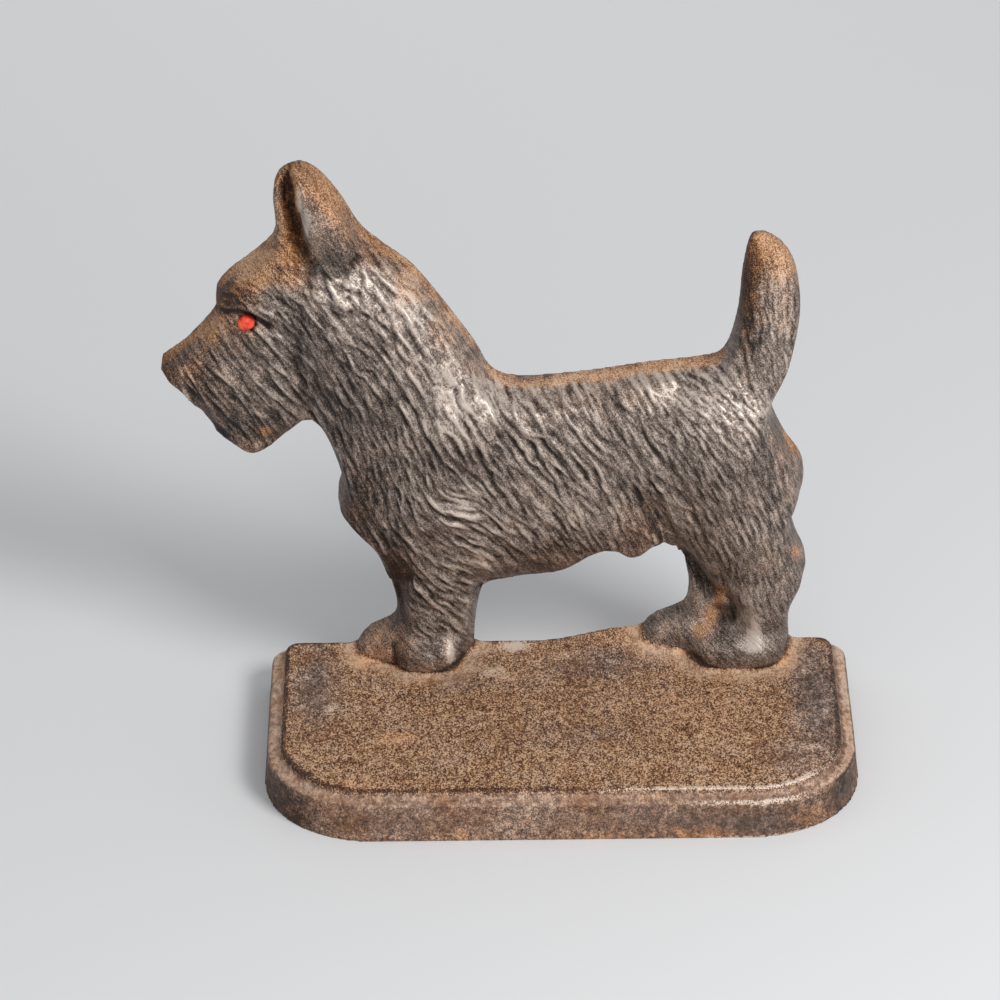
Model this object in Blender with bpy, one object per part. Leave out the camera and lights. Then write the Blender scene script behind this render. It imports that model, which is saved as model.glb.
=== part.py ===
"""Cast iron terrier doorstop: a flat-backed half-relief dog casting screwed down to a plinth casting.

World frame in metres, +Z up. The viewer is on the -Y side, the flat back of the dog faces +Y and the
floor is Z = 0. The shapes are laid out in millimetres in the plinth's own frame (x from the middle of
the plinth, depth forward from its rear face, z from the floor) and are moved to the world frame last.
"""

import math

import bpy
import numpy as np
from mathutils.geometry import delaunay_2d_cdt

MM = 0.001

# Plinth
BASE_WIDTH = 197.0
BASE_DEPTH = 100.0
FRONT_CORNER = 37.0
REAR_CORNER = 7.0
RIM_HEIGHT = 13.7
RIM_ROUND = 1.8
WALL_DRAFT = 1.0
PANEL_INSET_SIDE = 5.6
PANEL_INSET_FRONT = 5.0
PANEL_INSET_REAR = 0.6
PANEL_HEIGHT = 16.5
PANEL_ROUND = 0.9
PANEL_FILLET = 0.8
PLINTH_WALL = 5.6
PANEL_SKIN = 5.0
RIM_SKIN = 6.0
REAR_STEPS = 30
GROUND_GRID = 6.0
MOUND_HEIGHT = 5.6
MOUND_AT = (28.0, 2.0)
MOUND_SPREAD = (37.0, 22.0)

# Dog casting
BACK_PLANE = 1.0
EDGE_WALL = 7.0
LEG_EDGE_WALL = 3.2
LEG_EDGE_SPAN = (34.0, 52.0)
EDGE_ROUND = 12.0
BODY_RELIEF = 28.0
FAR_RELIEF = 4.0
CASTING_SKIN = 5.0
HOLLOW_DRAFT = 2.4
OUTLINE_STEP = 3.0
RING_DEPTHS = (1.0, 2.7, 5.2, 8.4)
ROW_SPACING = 1.4
BODY_GRID = 3.6
BACK_GRID = 7.0
# Finer grids, as (lowest corner, highest corner, spacing): ear, paws, hind leg, head, haunch crease
DETAIL_AREAS = (((-93, 162), (-62, 200), 1.8), ((-70, 13), (-28, 33), 1.8), ((27, 13), (80, 33), 1.8),
                ((40, 33), (66, 50), 1.9), ((-130, 96), (-56, 200), 2.4), ((20, 50), (60, 92), 2.5))

# Fasteners and the eye
SCREW_DIAMETER = 4.9
SCREW_LENGTH = 22.0
HEAD_DIAMETER = 9.6
HEAD_HEIGHT = 3.2
SLOT_WIDTH = 1.3
SLOT_DEPTH = 1.5
BOSS_DIAMETER = 17.0
BOSS_FACE = 9.2
SCREWS = {"front_screw": (-41.0, 13.0), "rear_screw": (66.5, 13.0)}
EYE_AT = (-101.2, 150.9)
EYE_DIAMETER = 6.3
EYE_DOME = 1.7
EYE_SEAT = 1.3

FIT_GAP = 0.3
SHAFT_GAP = 0.3

# Middle of the whole object's box in the plinth's frame
NOSE_X = -130.5
MIDDLE_X = (NOSE_X + BASE_WIDTH / 2) / 2
MIDDLE_DEPTH = BASE_DEPTH / 2

# Outline of the dog seen square on, clockwise from the nose, as points that a smooth curve runs through
FACE = [(-130.5, 126.4), (-128, 130.2), (-122.4, 134.4), (-113.6, 144.3), (-111.3, 149), (-111.4, 154.5),
        (-107, 160.3), (-100, 165.8), (-92.5, 173)]
EAR = [(-91.2, 180), (-91.8, 189), (-89.8, 196), (-83, 199.3), (-76.4, 195.4), (-70, 186.8), (-64.2, 176.4)]
NECK = [(-57, 169.4), (-46.8, 160.7), (-35.6, 145.3), (-27.2, 132.4), (-21.8, 122.6)]
BACK = [(-13, 119.2), (8, 120.5), (30, 123.8), (47, 125.8), (55, 129)]
TAIL = [(59.3, 143), (61, 160), (64, 171.5), (71, 170.2), (77.3, 162), (79.6, 147), (77, 129), (70.5, 112.5)]
RUMP = [(74.5, 99), (81, 88.5), (81.5, 80), (77.7, 69.5), (79.4, 60.5), (83.2, 49), (78.5, 36), (77.8, 24)]
HIND_SOLE = [(78.4, 13), (28, 13)]
HIND_FRONT = [(28, 21.5), (29.9, 24.5), (33.5, 27.5), (39, 29.8), (42.4, 31.7), (43.9, 36), (43.7, 44.7),
              (41, 54.5), (34.8, 62.6)]
BELLY = [(28, 57.6), (23, 56.8), (15.5, 60.2), (2, 51.8), (-12, 44.5), (-23.6, 41.6)]
FRONT_LEG = [(-26.4, 38), (-28.4, 25)]
FRONT_SOLE = [(-29, 13), (-68.8, 13)]
FRONT_TOE = [(-68.4, 17), (-66.4, 20.6), (-63.4, 23.8), (-59.4, 25.8), (-55.4, 28.4), (-54.6, 35), (-57.6, 49),
             (-61.7, 60.8), (-69, 69.5)]
CHEST = [(-73.4, 77), (-71.8, 86), (-74.5, 98), (-78.8, 108.2)]
BEARD = [(-84, 109.6), (-91.8, 102.4), (-101, 97.2), (-108, 101.4), (-115.8, 106.4), (-122, 118)]
SHARP_RUNS = (HIND_SOLE, FRONT_SOLE)

# Rim of the hollow in the back
HOLLOW = [(-118, 129), (-106, 148), (-92, 159), (-66, 162), (-48, 146), (-34, 126), (-22, 111),
          (20, 111), (50, 115), (62, 102), (70, 84), (62, 70), (44, 72), (26, 76), (6, 69), (-20, 64),
          (-40, 62), (-56, 74), (-62, 92), (-74, 113), (-92, 114), (-104, 108)]

# Relief forms: tapered limbs as (x, z, radius, relief) at either end, and how softly each one blends
FORMS = [
    ("torso", (-42, 92, 47, 27), (30, 89.5, 37, 24.5), 6),
    ("haunch", (53, 97, 29, 28.5), (61, 68, 20, 25), 3),
    ("thigh", (61, 68, 20, 25), (66, 47, 16, 21.5), 3),
    ("hind shin", (69, 45, 13, 21.5), (68.3, 28, 9.8, 21.5), 3),
    ("hind paw", (52.5, 21, 9.5, 23), (67.5, 23, 10.5, 24.5), 3),
    ("shoulder", (-40, 108, 26, 28), (-42, 82, 19, 26.5), 4),
    ("upper arm", (-42, 82, 18, 26.5), (-39.5, 60, 14, 23), 4),
    ("front shin", (-40, 60, 13, 23), (-40.5, 28, 11.5, 20.5), 3),
    ("front paw", (-47.5, 21.5, 9.5, 24), (-40.5, 22.5, 10, 24.5), 3),
    ("elbow", (-33, 67, 9, 23), (-25, 58, 8, 20), 3),
    ("neck", (-44, 116, 33, 27.5), (-70, 146, 28, 27), 6),
    ("skull", (-82, 152, 25, 25), (-92, 148, 22, 23), 5),
    ("muzzle", (-95, 138, 22, 21), (-119, 126, 14, 15.5), 4),
    ("beard", (-100, 122, 22, 20), (-101, 106, 13, 16), 4),
    ("jowl", (-86, 128, 18, 21), (-92, 116, 12, 18.5), 4),
    ("chest", (-64, 96, 14, 17), (-63, 76, 12, 15), 4),
    ("brow", (-107.5, 157.3, 5.6, 18.8), (-93, 154.3, 6.2, 25.5), 1.5),
    ("ear", (-80.5, 193.5, 6.2, 15), (-71, 176, 11.5, 21.5), 2),
    ("ear far rim", (-90, 192, 3, 7), (-88, 176, 5, 9), 1),
    ("tail root", (64, 120, 15, 20), (67.5, 136, 13, 16), 5),
    ("tail", (67.5, 136, 12.5, 16), (70.5, 161, 9.5, 12), 3),
    ("belly tuft", (24, 74, 6, 24), (24, 62, 5.5, 19), 2),
    ("far front leg", (-54, 66, 8, 11), (-52, 32, 5.5, 8.5), 2),
    ("far front paw", (-60.5, 17, 8.2, 12.5), (-56.5, 19, 9.2, 17.5), 2),
    ("far hind leg", (48, 56, 7, 9.5), (47.5, 34, 6.5, 11.5), 2),
    ("far hind paw", (36, 20.5, 8.5, 11), (44, 23.5, 9, 13), 2),
]

# Grooves cut into the relief: (points as (x, z), half width, depth)
GROOVES = [
    ("haunch crease", [(26, 92), (31, 80), (36, 69), (41, 58), (47, 48.5), (52, 42.5),
                       (57, 40.5), (59.5, 36), (60, 28)], 4.6, 3.6),
    ("under the brow", [(-120, 151.5), (-106, 152.6), (-98, 152), (-91, 148.5), (-83, 142)], 2.4, 1.8),
    ("behind the jowl", [(-80, 98), (-80, 110), (-83, 120), (-85, 132), (-86, 143), (-84, 153)],
     5.0, 1.4),
    ("ear recess", [(-88.6, 204), (-86.4, 190), (-83.8, 178), (-81, 163)], 2.8, 8.5),
    ("front toe 1", [(-55.5, 22.5), (-48.5, 21.5), (-45.5, 16)], 1.8, 1.1),
    ("front toe 2", [(-49, 28.5), (-42, 25.5), (-39.5, 16)], 1.8, 1.1),
    ("hind toe 1", [(44.5, 20.5), (51, 20.5), (53.5, 16)], 1.8, 1.1),
    ("hind toe 2", [(51, 28.5), (58, 25.5), (60, 16)], 1.8, 1.1),
]


def clear_scene():
    for obj in list(bpy.data.objects):
        bpy.data.objects.remove(obj, do_unlink=True)


def smooth_loop(points, step):
    """A closed Catmull-Rom curve through the points, sampled about every step."""
    p = np.array(points, float)
    out = []
    n = len(p)
    for i in range(n):
        a, b, c, d = p[i - 1], p[i], p[(i + 1) % n], p[(i + 2) % n]
        count = max(1, round(np.linalg.norm(c - b) / step))
        for t in np.arange(count) / count:
            out.append(0.5 * (2 * b + (c - a) * t + (2 * a - 5 * b + 4 * c - d) * t**2
                              + (3 * b - a - 3 * c + d) * t**3))
    return np.array(out)


def dog_outline():
    """The smooth outline, with the runs on the plinth kept straight."""
    runs = [FACE + EAR + NECK + BACK + TAIL + RUMP, HIND_SOLE, HIND_FRONT + BELLY + FRONT_LEG,
            FRONT_SOLE, FRONT_TOE + CHEST + BEARD]
    loop = []
    for k, run in enumerate(runs):
        if run in SHARP_RUNS:
            a, b = np.array(run[0], float), np.array(run[1], float)
            count = round(np.linalg.norm(b - a) / OUTLINE_STEP)
            loop += [a + (b - a) * t for t in np.arange(count + 1) / count]
        else:
            before, after = runs[k - 1][-1], runs[(k + 1) % len(runs)][0]
            whole = [before, *run, after]
            dense = smooth_loop(whole, OUTLINE_STEP)
            first = np.argmin(np.linalg.norm(dense - np.array(run[0]), axis=1))
            last = np.argmin(np.linalg.norm(dense - np.array(run[-1]), axis=1))
            loop += list(dense[first:last + 1])
    return np.array(loop)


def distance_to(points, loop, closed=True):
    """The distance from each point to the polyline."""
    a = loop if closed else loop[:-1]
    b = np.roll(loop, -1, axis=0) if closed else loop[1:]
    best = np.full(len(points), np.inf)
    for p, q in zip(a, b):
        along = q - p
        t = np.clip((points - p) @ along / max(along @ along, 1e-9), 0, 1)
        best = np.minimum(best, np.linalg.norm(points - p - t[:, None] * along, axis=1))
    return best


def inside(points, loop):
    """Even-odd test of each point against a closed loop."""
    hit = np.zeros(len(points), bool)
    for p, q in zip(loop, np.roll(loop, -1, axis=0)):
        spans = (p[1] > points[:, 1]) != (q[1] > points[:, 1])
        rise = q[1] - p[1] if abs(q[1] - p[1]) > 1e-9 else 1e-9
        hit ^= spans & (points[:, 0] < p[0] + (points[:, 1] - p[1]) * (q[0] - p[0]) / rise)
    return hit


def limb(points, start, end):
    """Relief of one tapered form: a half-ellipse section over its radius, and a steep fall outside it."""
    a, b = np.array(start, float), np.array(end, float)
    along = b[:2] - a[:2]
    t = np.clip((points - a[:2]) @ along / (along @ along), 0, 1)
    radius = a[2] + (b[2] - a[2]) * t
    relief = a[3] + (b[3] - a[3]) * t
    q = np.linalg.norm(points - a[:2] - t[:, None] * along, axis=1) / radius
    foot = np.minimum(9.0, 0.45 * relief)
    dome = foot + (relief - foot) * np.sqrt(np.clip(1 - q**2, 0, 1))
    return np.where(q < 1, dome, foot - 2.5 * radius * (q - 1))


def soft_max(a, b, width):
    over = np.clip(width - np.abs(a - b), 0, None) / width
    return np.maximum(a, b) + over**2 * width / 4


def relief_at(points, outline):
    """How far the front of the dog stands forward of its flat back."""
    height = np.full(len(points), FAR_RELIEF)
    for _, start, end, blend in FORMS:
        height = soft_max(height, limb(points, start, end), blend)
    for _, line, half_width, depth in GROOVES:
        near = distance_to(points, np.array(line, float), closed=False) / half_width
        ends = np.minimum(*(np.hypot(*(points - end).T) for end in (line[0], line[-1])))
        fade = np.clip(ends / (3 * half_width), 0, 1)
        height = height - depth * fade * np.clip(1 - near**2, 0, 1) ** 1.5
    rise = 1 - np.clip(distance_to(points, outline) / EDGE_ROUND, 0, 1)
    low, high = LEG_EDGE_SPAN
    wall = LEG_EDGE_WALL + (EDGE_WALL - LEG_EDGE_WALL) * np.clip((points[:, 1] - low) / (high - low), 0, 1)
    edge = wall + (BODY_RELIEF + 2 - wall) * np.sqrt(np.clip(1 - rise**2, 0, 1))
    return np.maximum(-soft_max(-height, -edge, 2), FAR_RELIEF - 1.0)


def hex_points(low, high, pitch):
    rows = []
    for k, z in enumerate(np.arange(low[1], high[1], pitch * math.sqrt(3) / 2)):
        x = np.arange(low[0] + (k % 2) * pitch / 2, high[0], pitch)
        rows.append(np.column_stack([x, np.full(len(x), z)]))
    return np.vstack(rows)


def triangulate(loops, inner):
    """Constrained Delaunay triangles inside the first loop, keeping the edges of every loop."""
    points, edges = [], []
    for loop in loops:
        first = len(points)
        count = len(loop)
        points += [tuple(p) for p in loop]
        edges += [(first + i, first + (i + 1) % count) for i in range(count)]
    points += [tuple(p) for p in inner]
    face = list(range(len(loops[0])))
    made, _, faces, *_ = delaunay_2d_cdt(points, edges, [face], 1, 1e-5)
    return np.array([tuple(p) for p in made]), [list(f) for f in faces]


def mesh_object(name, points, faces, material=None):
    """An object from points in the plinth's frame: (x, depth forward, z) in millimetres."""
    world = np.array(points, float)
    world = np.column_stack([world[:, 0] - MIDDLE_X, MIDDLE_DEPTH - world[:, 1], world[:, 2]]) * MM
    mesh = bpy.data.meshes.new(name)
    mesh.from_pydata([tuple(p) for p in world], [], faces)
    mesh.update()
    obj = bpy.data.objects.new(name, mesh)
    bpy.context.scene.collection.objects.link(obj)
    face_outwards(obj)
    if material:
        mesh.materials.append(material)
    return obj


def face_outwards(obj):
    """Turns every face outwards."""
    mesh = obj.data
    bpy.ops.object.select_all(action="DESELECT")
    obj.select_set(True)
    bpy.context.view_layer.objects.active = obj
    bpy.ops.object.mode_set(mode="EDIT")
    bpy.ops.mesh.select_all(action="SELECT")
    bpy.ops.mesh.normals_make_consistent(inside=False)
    bpy.ops.object.mode_set(mode="OBJECT")
    mesh.update()


def as_cutter(obj):
    obj.hide_render = True
    obj.display_type = "WIRE"
    return obj


def combine(obj, other, operation):
    """Applies one Boolean and removes the other object."""
    modifier = obj.modifiers.new(operation.lower(), "BOOLEAN")
    modifier.operation = operation
    modifier.solver = "EXACT"
    modifier.object = as_cutter(other)
    bpy.ops.object.select_all(action="DESELECT")
    bpy.context.view_layer.objects.active = obj
    obj.select_set(True)
    bpy.ops.object.modifier_apply(modifier=modifier.name)
    bpy.data.objects.remove(other, do_unlink=True)


def loft(name, rings, material=None):
    """A closed body through rings of the same number of points, capped at both ends."""
    count = len(rings[0])
    points = np.vstack(rings)
    faces = [list(range(count)), [(len(rings) - 1) * count + i for i in reversed(range(count))]]
    for k in range(len(rings) - 1):
        for i in range(count):
            j = (i + 1) % count
            faces.append([k * count + i, k * count + j, (k + 1) * count + j, (k + 1) * count + i])
    return mesh_object(name, points, faces, material)


def lathe(name, profile, centre, segments=32, axis="z", material=None):
    """A turned piece from (radius, height) pairs about an upright or a fore-and-aft axis."""
    turn = np.arange(segments) * 2 * math.pi / segments
    rings = []
    for radius, height in profile:
        u, v = radius * np.cos(turn), radius * np.sin(turn)
        if axis == "z":
            rings.append(np.column_stack([centre[0] + u, centre[1] + v, np.full(segments, height)]))
        else:
            rings.append(np.column_stack([centre[0] + u, np.full(segments, height), centre[1] + v]))
    return loft(name, rings, material)


def iron_material(name, colour, metallic, roughness):
    material = bpy.data.materials.new(name)
    material.use_nodes = True
    shader = material.node_tree.nodes["Principled BSDF"]
    shader.inputs["Base Color"].default_value = (*colour, 1)
    shader.inputs["Metallic"].default_value = metallic
    shader.inputs["Roughness"].default_value = roughness
    return material


def plan(half_width, front, rear, front_corner, rear_corner, height):
    """One ring of the plinth: large front corners, small rear ones, at one height."""
    corners = [(half_width - front_corner, front - front_corner, front_corner, 90, 12),
               (-half_width + front_corner, front - front_corner, front_corner, 180, 12),
               (-half_width + rear_corner, rear + rear_corner, rear_corner, 270, 4),
               (half_width - rear_corner, rear + rear_corner, rear_corner, 360, 4)]
    ring = []
    for x, y, radius, end, steps in corners:
        for k in range(steps + 1):
            angle = math.radians(end - 90 + 90 * k / steps)
            ring.append((x + radius * math.cos(angle), y + radius * math.sin(angle), height))
        if end == 270:
            run = half_width - rear_corner
            ring += [(run * t, rear, height) for t in np.linspace(-1, 1, REAR_STEPS + 1)[1:-1]]
    return np.array(ring)


def plinth_ring(inset, height, rear=0.0):
    return plan(BASE_WIDTH / 2 - inset, BASE_DEPTH - inset, rear + inset * 0.25,
                FRONT_CORNER - inset, max(REAR_CORNER - inset * 0.5, 1.0), height)


def panel_ring(inset, height):
    return plan(BASE_WIDTH / 2 - PANEL_INSET_SIDE - inset, BASE_DEPTH - PANEL_INSET_FRONT - inset,
                PANEL_INSET_REAR + inset * 0.3, FRONT_CORNER - PANEL_INSET_SIDE - inset,
                REAR_CORNER - 2 - inset * 0.5, height)


def ground_at(x, depth):
    """Height of the top of the plinth, with its low swell under the hind feet."""
    u = np.hypot((x - MOUND_AT[0]) / MOUND_SPREAD[0], (depth - MOUND_AT[1]) / MOUND_SPREAD[1])
    return PANEL_HEIGHT + MOUND_HEIGHT * np.cos(np.clip(u, 0, 1) * math.pi / 2) ** 2


def ground_body(name, extra, bottom, rings):
    """The panel with the ground surface for its top, raised by extra."""
    ring = rings[-1][:, :2]
    count = len(ring)
    inner = hex_points((-96, 4), (96, BASE_DEPTH), GROUND_GRID)
    inner = inner[inside(inner, ring)]
    inner = inner[distance_to(inner, ring) > GROUND_GRID * 0.45]
    flat, faces = triangulate([ring], inner)
    top = np.column_stack([flat, ground_at(flat[:, 0], flat[:, 1]) + extra])
    swell = ground_at(ring[:, 0], ring[:, 1]) - PANEL_HEIGHT
    points = list(top)
    starts = [0]
    for k, lower in enumerate(reversed(rings[:-1])):
        lifted = lower.copy()
        if k < len(rings) - 3:
            lifted[:, 2] += swell
        lifted[:, 2] += extra
        starts.append(len(points))
        points += list(lifted)
    for upper, lower in zip(starts, starts[1:]):
        faces += [[upper + i, upper + (i + 1) % count, lower + (i + 1) % count, lower + i]
                  for i in range(count)]
    under = rings[0].copy()
    under[:, 2] = bottom
    starts.append(len(points))
    points += list(under)
    faces += [[starts[-2] + i, starts[-2] + (i + 1) % count, starts[-1] + (i + 1) % count,
               starts[-1] + i] for i in range(count)]
    faces.append([starts[-1] + i for i in range(count)])
    return mesh_object(name, np.array(points), faces)


def panel_rings():
    """Rings of the raised panel, from the fillet at its foot to the rounding at its top."""
    rings = [panel_ring(-PANEL_FILLET, RIM_HEIGHT - 0.6), panel_ring(-0.3, RIM_HEIGHT + 0.5)]
    for k in range(4):
        angle = math.radians(30 * k)
        rings.append(panel_ring(PANEL_ROUND * (1 - math.cos(angle)),
                                PANEL_HEIGHT - PANEL_ROUND * (1 - math.sin(angle))))
    return rings


def build_base(material):
    """The plinth casting: an open-bottomed tray with a rounded rim and a raised panel."""
    rings = [plinth_ring(0, 0), plinth_ring(WALL_DRAFT, RIM_HEIGHT - RIM_ROUND)]
    for k in (1, 2, 3):
        angle = math.radians(30 * k)
        rings.append(plinth_ring(WALL_DRAFT + RIM_ROUND * (1 - math.cos(angle)),
                                 RIM_HEIGHT - RIM_ROUND * (1 - math.sin(angle))))
    base = loft("base_casting", rings, material)
    combine(base, ground_body("panel", 0.0, RIM_HEIGHT - 3, panel_rings()), "UNION")

    inner = PLINTH_WALL
    roof = PANEL_HEIGHT - PANEL_SKIN
    rear = inner * 0.75
    tray = [plinth_ring(inner - 0.4, -2, rear), plinth_ring(inner + 0.6, RIM_HEIGHT - RIM_SKIN, rear),
            plinth_ring(inner + 8.5, roof, rear)]
    combine(base, loft("tray", tray), "DIFFERENCE")
    for x, depth in SCREWS.values():
        radius = BOSS_DIAMETER / 2
        boss = [(radius, BOSS_FACE), (radius + 0.9, roof + 2)]
        combine(base, lathe("boss", boss, (x, depth)), "UNION")
    for x, depth in SCREWS.values():
        bore = SCREW_DIAMETER / 2 + SHAFT_GAP
        combine(base, lathe("bore", [(bore, -1), (bore, PANEL_HEIGHT + 9)], (x, depth), 24), "DIFFERENCE")
    return base


def front_points(outline):
    """Points for the relief: rows inside the outline, rows along the grooves, then even grids."""
    inward = np.roll(outline, -1, axis=0) - np.roll(outline, 1, axis=0)
    inward = np.column_stack([inward[:, 1], -inward[:, 0]]) / np.linalg.norm(inward, axis=1)[:, None]
    rows = [outline + inward * depth for depth in RING_DEPTHS]
    for _, line, half_width, _ in GROOVES:
        rows += [groove_row(line, side * half_width) for side in (0, -0.55, 0.55, -1.05, 1.05)]
    spacing = [ROW_SPACING] * len(rows)
    for low, high, grid in DETAIL_AREAS:
        rows.append(hex_points(low, high, grid))
        spacing.append(grid * 0.75)
    rows.append(hex_points((-130, 14), (85, 199), BODY_GRID))
    spacing.append(BODY_GRID * 0.75)
    kept = np.empty((0, 2))
    for row, apart in zip(rows, spacing):
        row = row[inside(row, outline)]
        row = row[distance_to(row, outline) > RING_DEPTHS[0] * 0.9]
        for point in row:
            if not len(kept) or np.min(np.hypot(*(kept - point).T)) > apart:
                kept = np.vstack([kept, point])
    return kept


def groove_row(line, offset):
    """Points along a groove, at one offset to its side."""
    p = np.array(line, float)
    out = []
    for a, b in zip(p, p[1:]):
        along = b - a
        length = np.linalg.norm(along)
        side = np.array([-along[1], along[0]]) / length * offset
        count = max(2, round(length / 2.2))
        out += [a + along * t + side for t in (np.arange(count) + 0.5) / count]
    return np.array(out)


def build_dog(material):
    """The dog casting: half-relief front, flat back, hollowed behind the body and head."""
    outline = dog_outline()
    front, front_faces = triangulate([outline], front_points(outline))
    relief = relief_at(front, outline)

    hollow = smooth_loop(HOLLOW, OUTLINE_STEP * 2)
    grid = hex_points(hollow.min(axis=0), hollow.max(axis=0), BACK_GRID)
    grid = grid[inside(grid, hollow)]
    to_rim = distance_to(grid, hollow)
    back, back_faces = triangulate([outline, hollow], grid[to_rim > 3.0])
    to_rim = distance_to(back, hollow)
    room = np.clip(relief_at(back, outline) - CASTING_SKIN, 0, None)
    sunk = np.minimum(room, HOLLOW_DRAFT * to_rim) * inside(back, hollow)

    count = len(outline)
    points = [(x, BACK_PLANE + h, z) for (x, z), h in zip(front, relief)]
    first = len(points)
    points += [(x, BACK_PLANE + h, z) for (x, z), h in zip(back, sunk)]
    faces = front_faces + [[first + i for i in f] for f in back_faces]
    faces += [[i, (i + 1) % count, first + (i + 1) % count, first + i] for i in range(count)]
    dog = mesh_object("dog_casting", np.array(points), faces, material)

    rings = [panel_ring(-2, 0), panel_ring(-2, PANEL_HEIGHT)]
    combine(dog, ground_body("ground cutter", FIT_GAP, -5, rings), "DIFFERENCE")
    for x, depth in SCREWS.values():
        bore = SCREW_DIAMETER / 2 + SHAFT_GAP
        tip = BOSS_FACE + SCREW_LENGTH + 1.5
        hole = [(bore, 0), (bore, tip), (0.3, tip + bore * 0.6)]
        combine(dog, lathe("tapped hole", hole, (x, depth), 24), "DIFFERENCE")
    seat = eye_seat_depth(outline)
    radius = EYE_DIAMETER / 2 + FIT_GAP
    combine(dog, lathe("eye seat", [(radius, seat), (radius, 60)], EYE_AT, 24, "y"), "DIFFERENCE")
    return dog


def eye_seat_depth(outline):
    """Depth of the floor of the eye's shallow seat, under the lowest skin around it."""
    turn = np.arange(12) * math.pi / 6
    rim = np.array(EYE_AT) + EYE_DIAMETER / 2 * np.column_stack([np.cos(turn), np.sin(turn)])
    return BACK_PLANE + float(np.median(relief_at(rim, outline))) - EYE_SEAT


def build_eye(material):
    """The red enamel eye: a low domed dab in a shallow seat below the brow."""
    low = eye_seat_depth(dog_outline()) + FIT_GAP
    radius = EYE_DIAMETER / 2
    profile = [(radius, low), (radius, low + EYE_SEAT * 0.9)]
    for k in (1, 2, 3, 4):
        angle = math.radians(20 * k)
        profile.append((radius * math.cos(angle), low + EYE_SEAT * 0.9 + EYE_DOME * math.sin(angle)))
    return lathe("eye_enamel", profile, EYE_AT, 24, "y", material)


def build_screw(name, material):
    """A slotted round-head screw, put in from below."""
    x, depth = SCREWS[name]
    top = BOSS_FACE - FIT_GAP
    shaft = SCREW_DIAMETER / 2
    head = HEAD_DIAMETER / 2
    profile = []
    for angle in (20, 38, 55, 70, 82):
        turn = math.radians(angle)
        profile.append((head * math.sin(turn), top - HEAD_HEIGHT * math.cos(turn)))
    profile += [(head, top), (shaft, top), (shaft, top + SCREW_LENGTH - 0.8),
                (shaft - 0.8, top + SCREW_LENGTH)]
    screw = lathe(name, profile, (x, depth), 28, "z", material)
    half = SLOT_WIDTH / 2
    low = top - HEAD_HEIGHT
    slot = [np.array([(x - head - 1, depth - half, h), (x + head + 1, depth - half, h),
                      (x + head + 1, depth + half, h), (x - head - 1, depth + half, h)])
            for h in (low - 1, low + SLOT_DEPTH)]
    combine(screw, loft("slot", slot), "DIFFERENCE")
    return screw


def finish(obj, angle=40):
    """Shades round faces smooth and keeps crisp edges."""
    obj.data.shade_smooth()
    obj.data.set_sharp_from_angle(angle=math.radians(angle))


clear_scene()
dog_iron = iron_material("patinated_cast_iron", (0.045, 0.04, 0.036), 0.85, 0.5)
base_iron = iron_material("rust_toned_cast_iron", (0.16, 0.1, 0.06), 0.6, 0.7)
screw_steel = iron_material("blackened_screw_steel", (0.12, 0.11, 0.1), 1.0, 0.4)
eye_red = iron_material("red_enamel", (0.6, 0.04, 0.02), 0.0, 0.35)

parts = [build_dog(dog_iron), build_base(base_iron), build_eye(eye_red)]
parts += [build_screw(name, screw_steel) for name in SCREWS]
for part in parts:
    finish(part)
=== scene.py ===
import math

import bpy
import numpy as np
from mathutils import Matrix, Vector
from mathutils.bvhtree import BVHTree


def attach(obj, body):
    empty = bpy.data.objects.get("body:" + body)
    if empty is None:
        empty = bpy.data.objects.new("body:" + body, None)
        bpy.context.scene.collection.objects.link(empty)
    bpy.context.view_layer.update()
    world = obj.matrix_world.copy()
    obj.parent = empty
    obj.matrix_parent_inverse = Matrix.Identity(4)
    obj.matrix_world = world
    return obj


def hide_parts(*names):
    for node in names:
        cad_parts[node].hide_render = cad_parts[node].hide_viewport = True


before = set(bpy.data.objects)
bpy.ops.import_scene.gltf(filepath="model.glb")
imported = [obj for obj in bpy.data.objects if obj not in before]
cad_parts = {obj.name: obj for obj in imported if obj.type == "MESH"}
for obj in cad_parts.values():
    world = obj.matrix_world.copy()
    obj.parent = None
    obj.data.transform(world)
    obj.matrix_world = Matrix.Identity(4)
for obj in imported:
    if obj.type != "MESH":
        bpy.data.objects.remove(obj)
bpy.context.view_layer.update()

# Plinth casting. Grey iron poured in sand: an open tray with a rounded rim and a raised panel, left with
# its grainy skin and browned by age. The CAD solid is copied, made finely uneven as a hand-rammed mould
# leaves it, and drawn up into the small fillets where the dog's feet stand on it.
MM = 0.001
PLINTH_GRID = 0.8 * MM
FILLET = 3.2 * MM
# The fillets lie on the panel: above this height, behind this line, and within this reach of a foot
FEET_ABOVE = 14 * MM
FEET_BEHIND = -5 * MM
FEET_REACH = 10 * MM
RIM_FOOT = 0.8 * MM  # the face that it stands on lies below this, and is left flat
SKIN_TOP = 0.95  # nearly all of the unevenness is sunk in, so that the casting keeps its size
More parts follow.
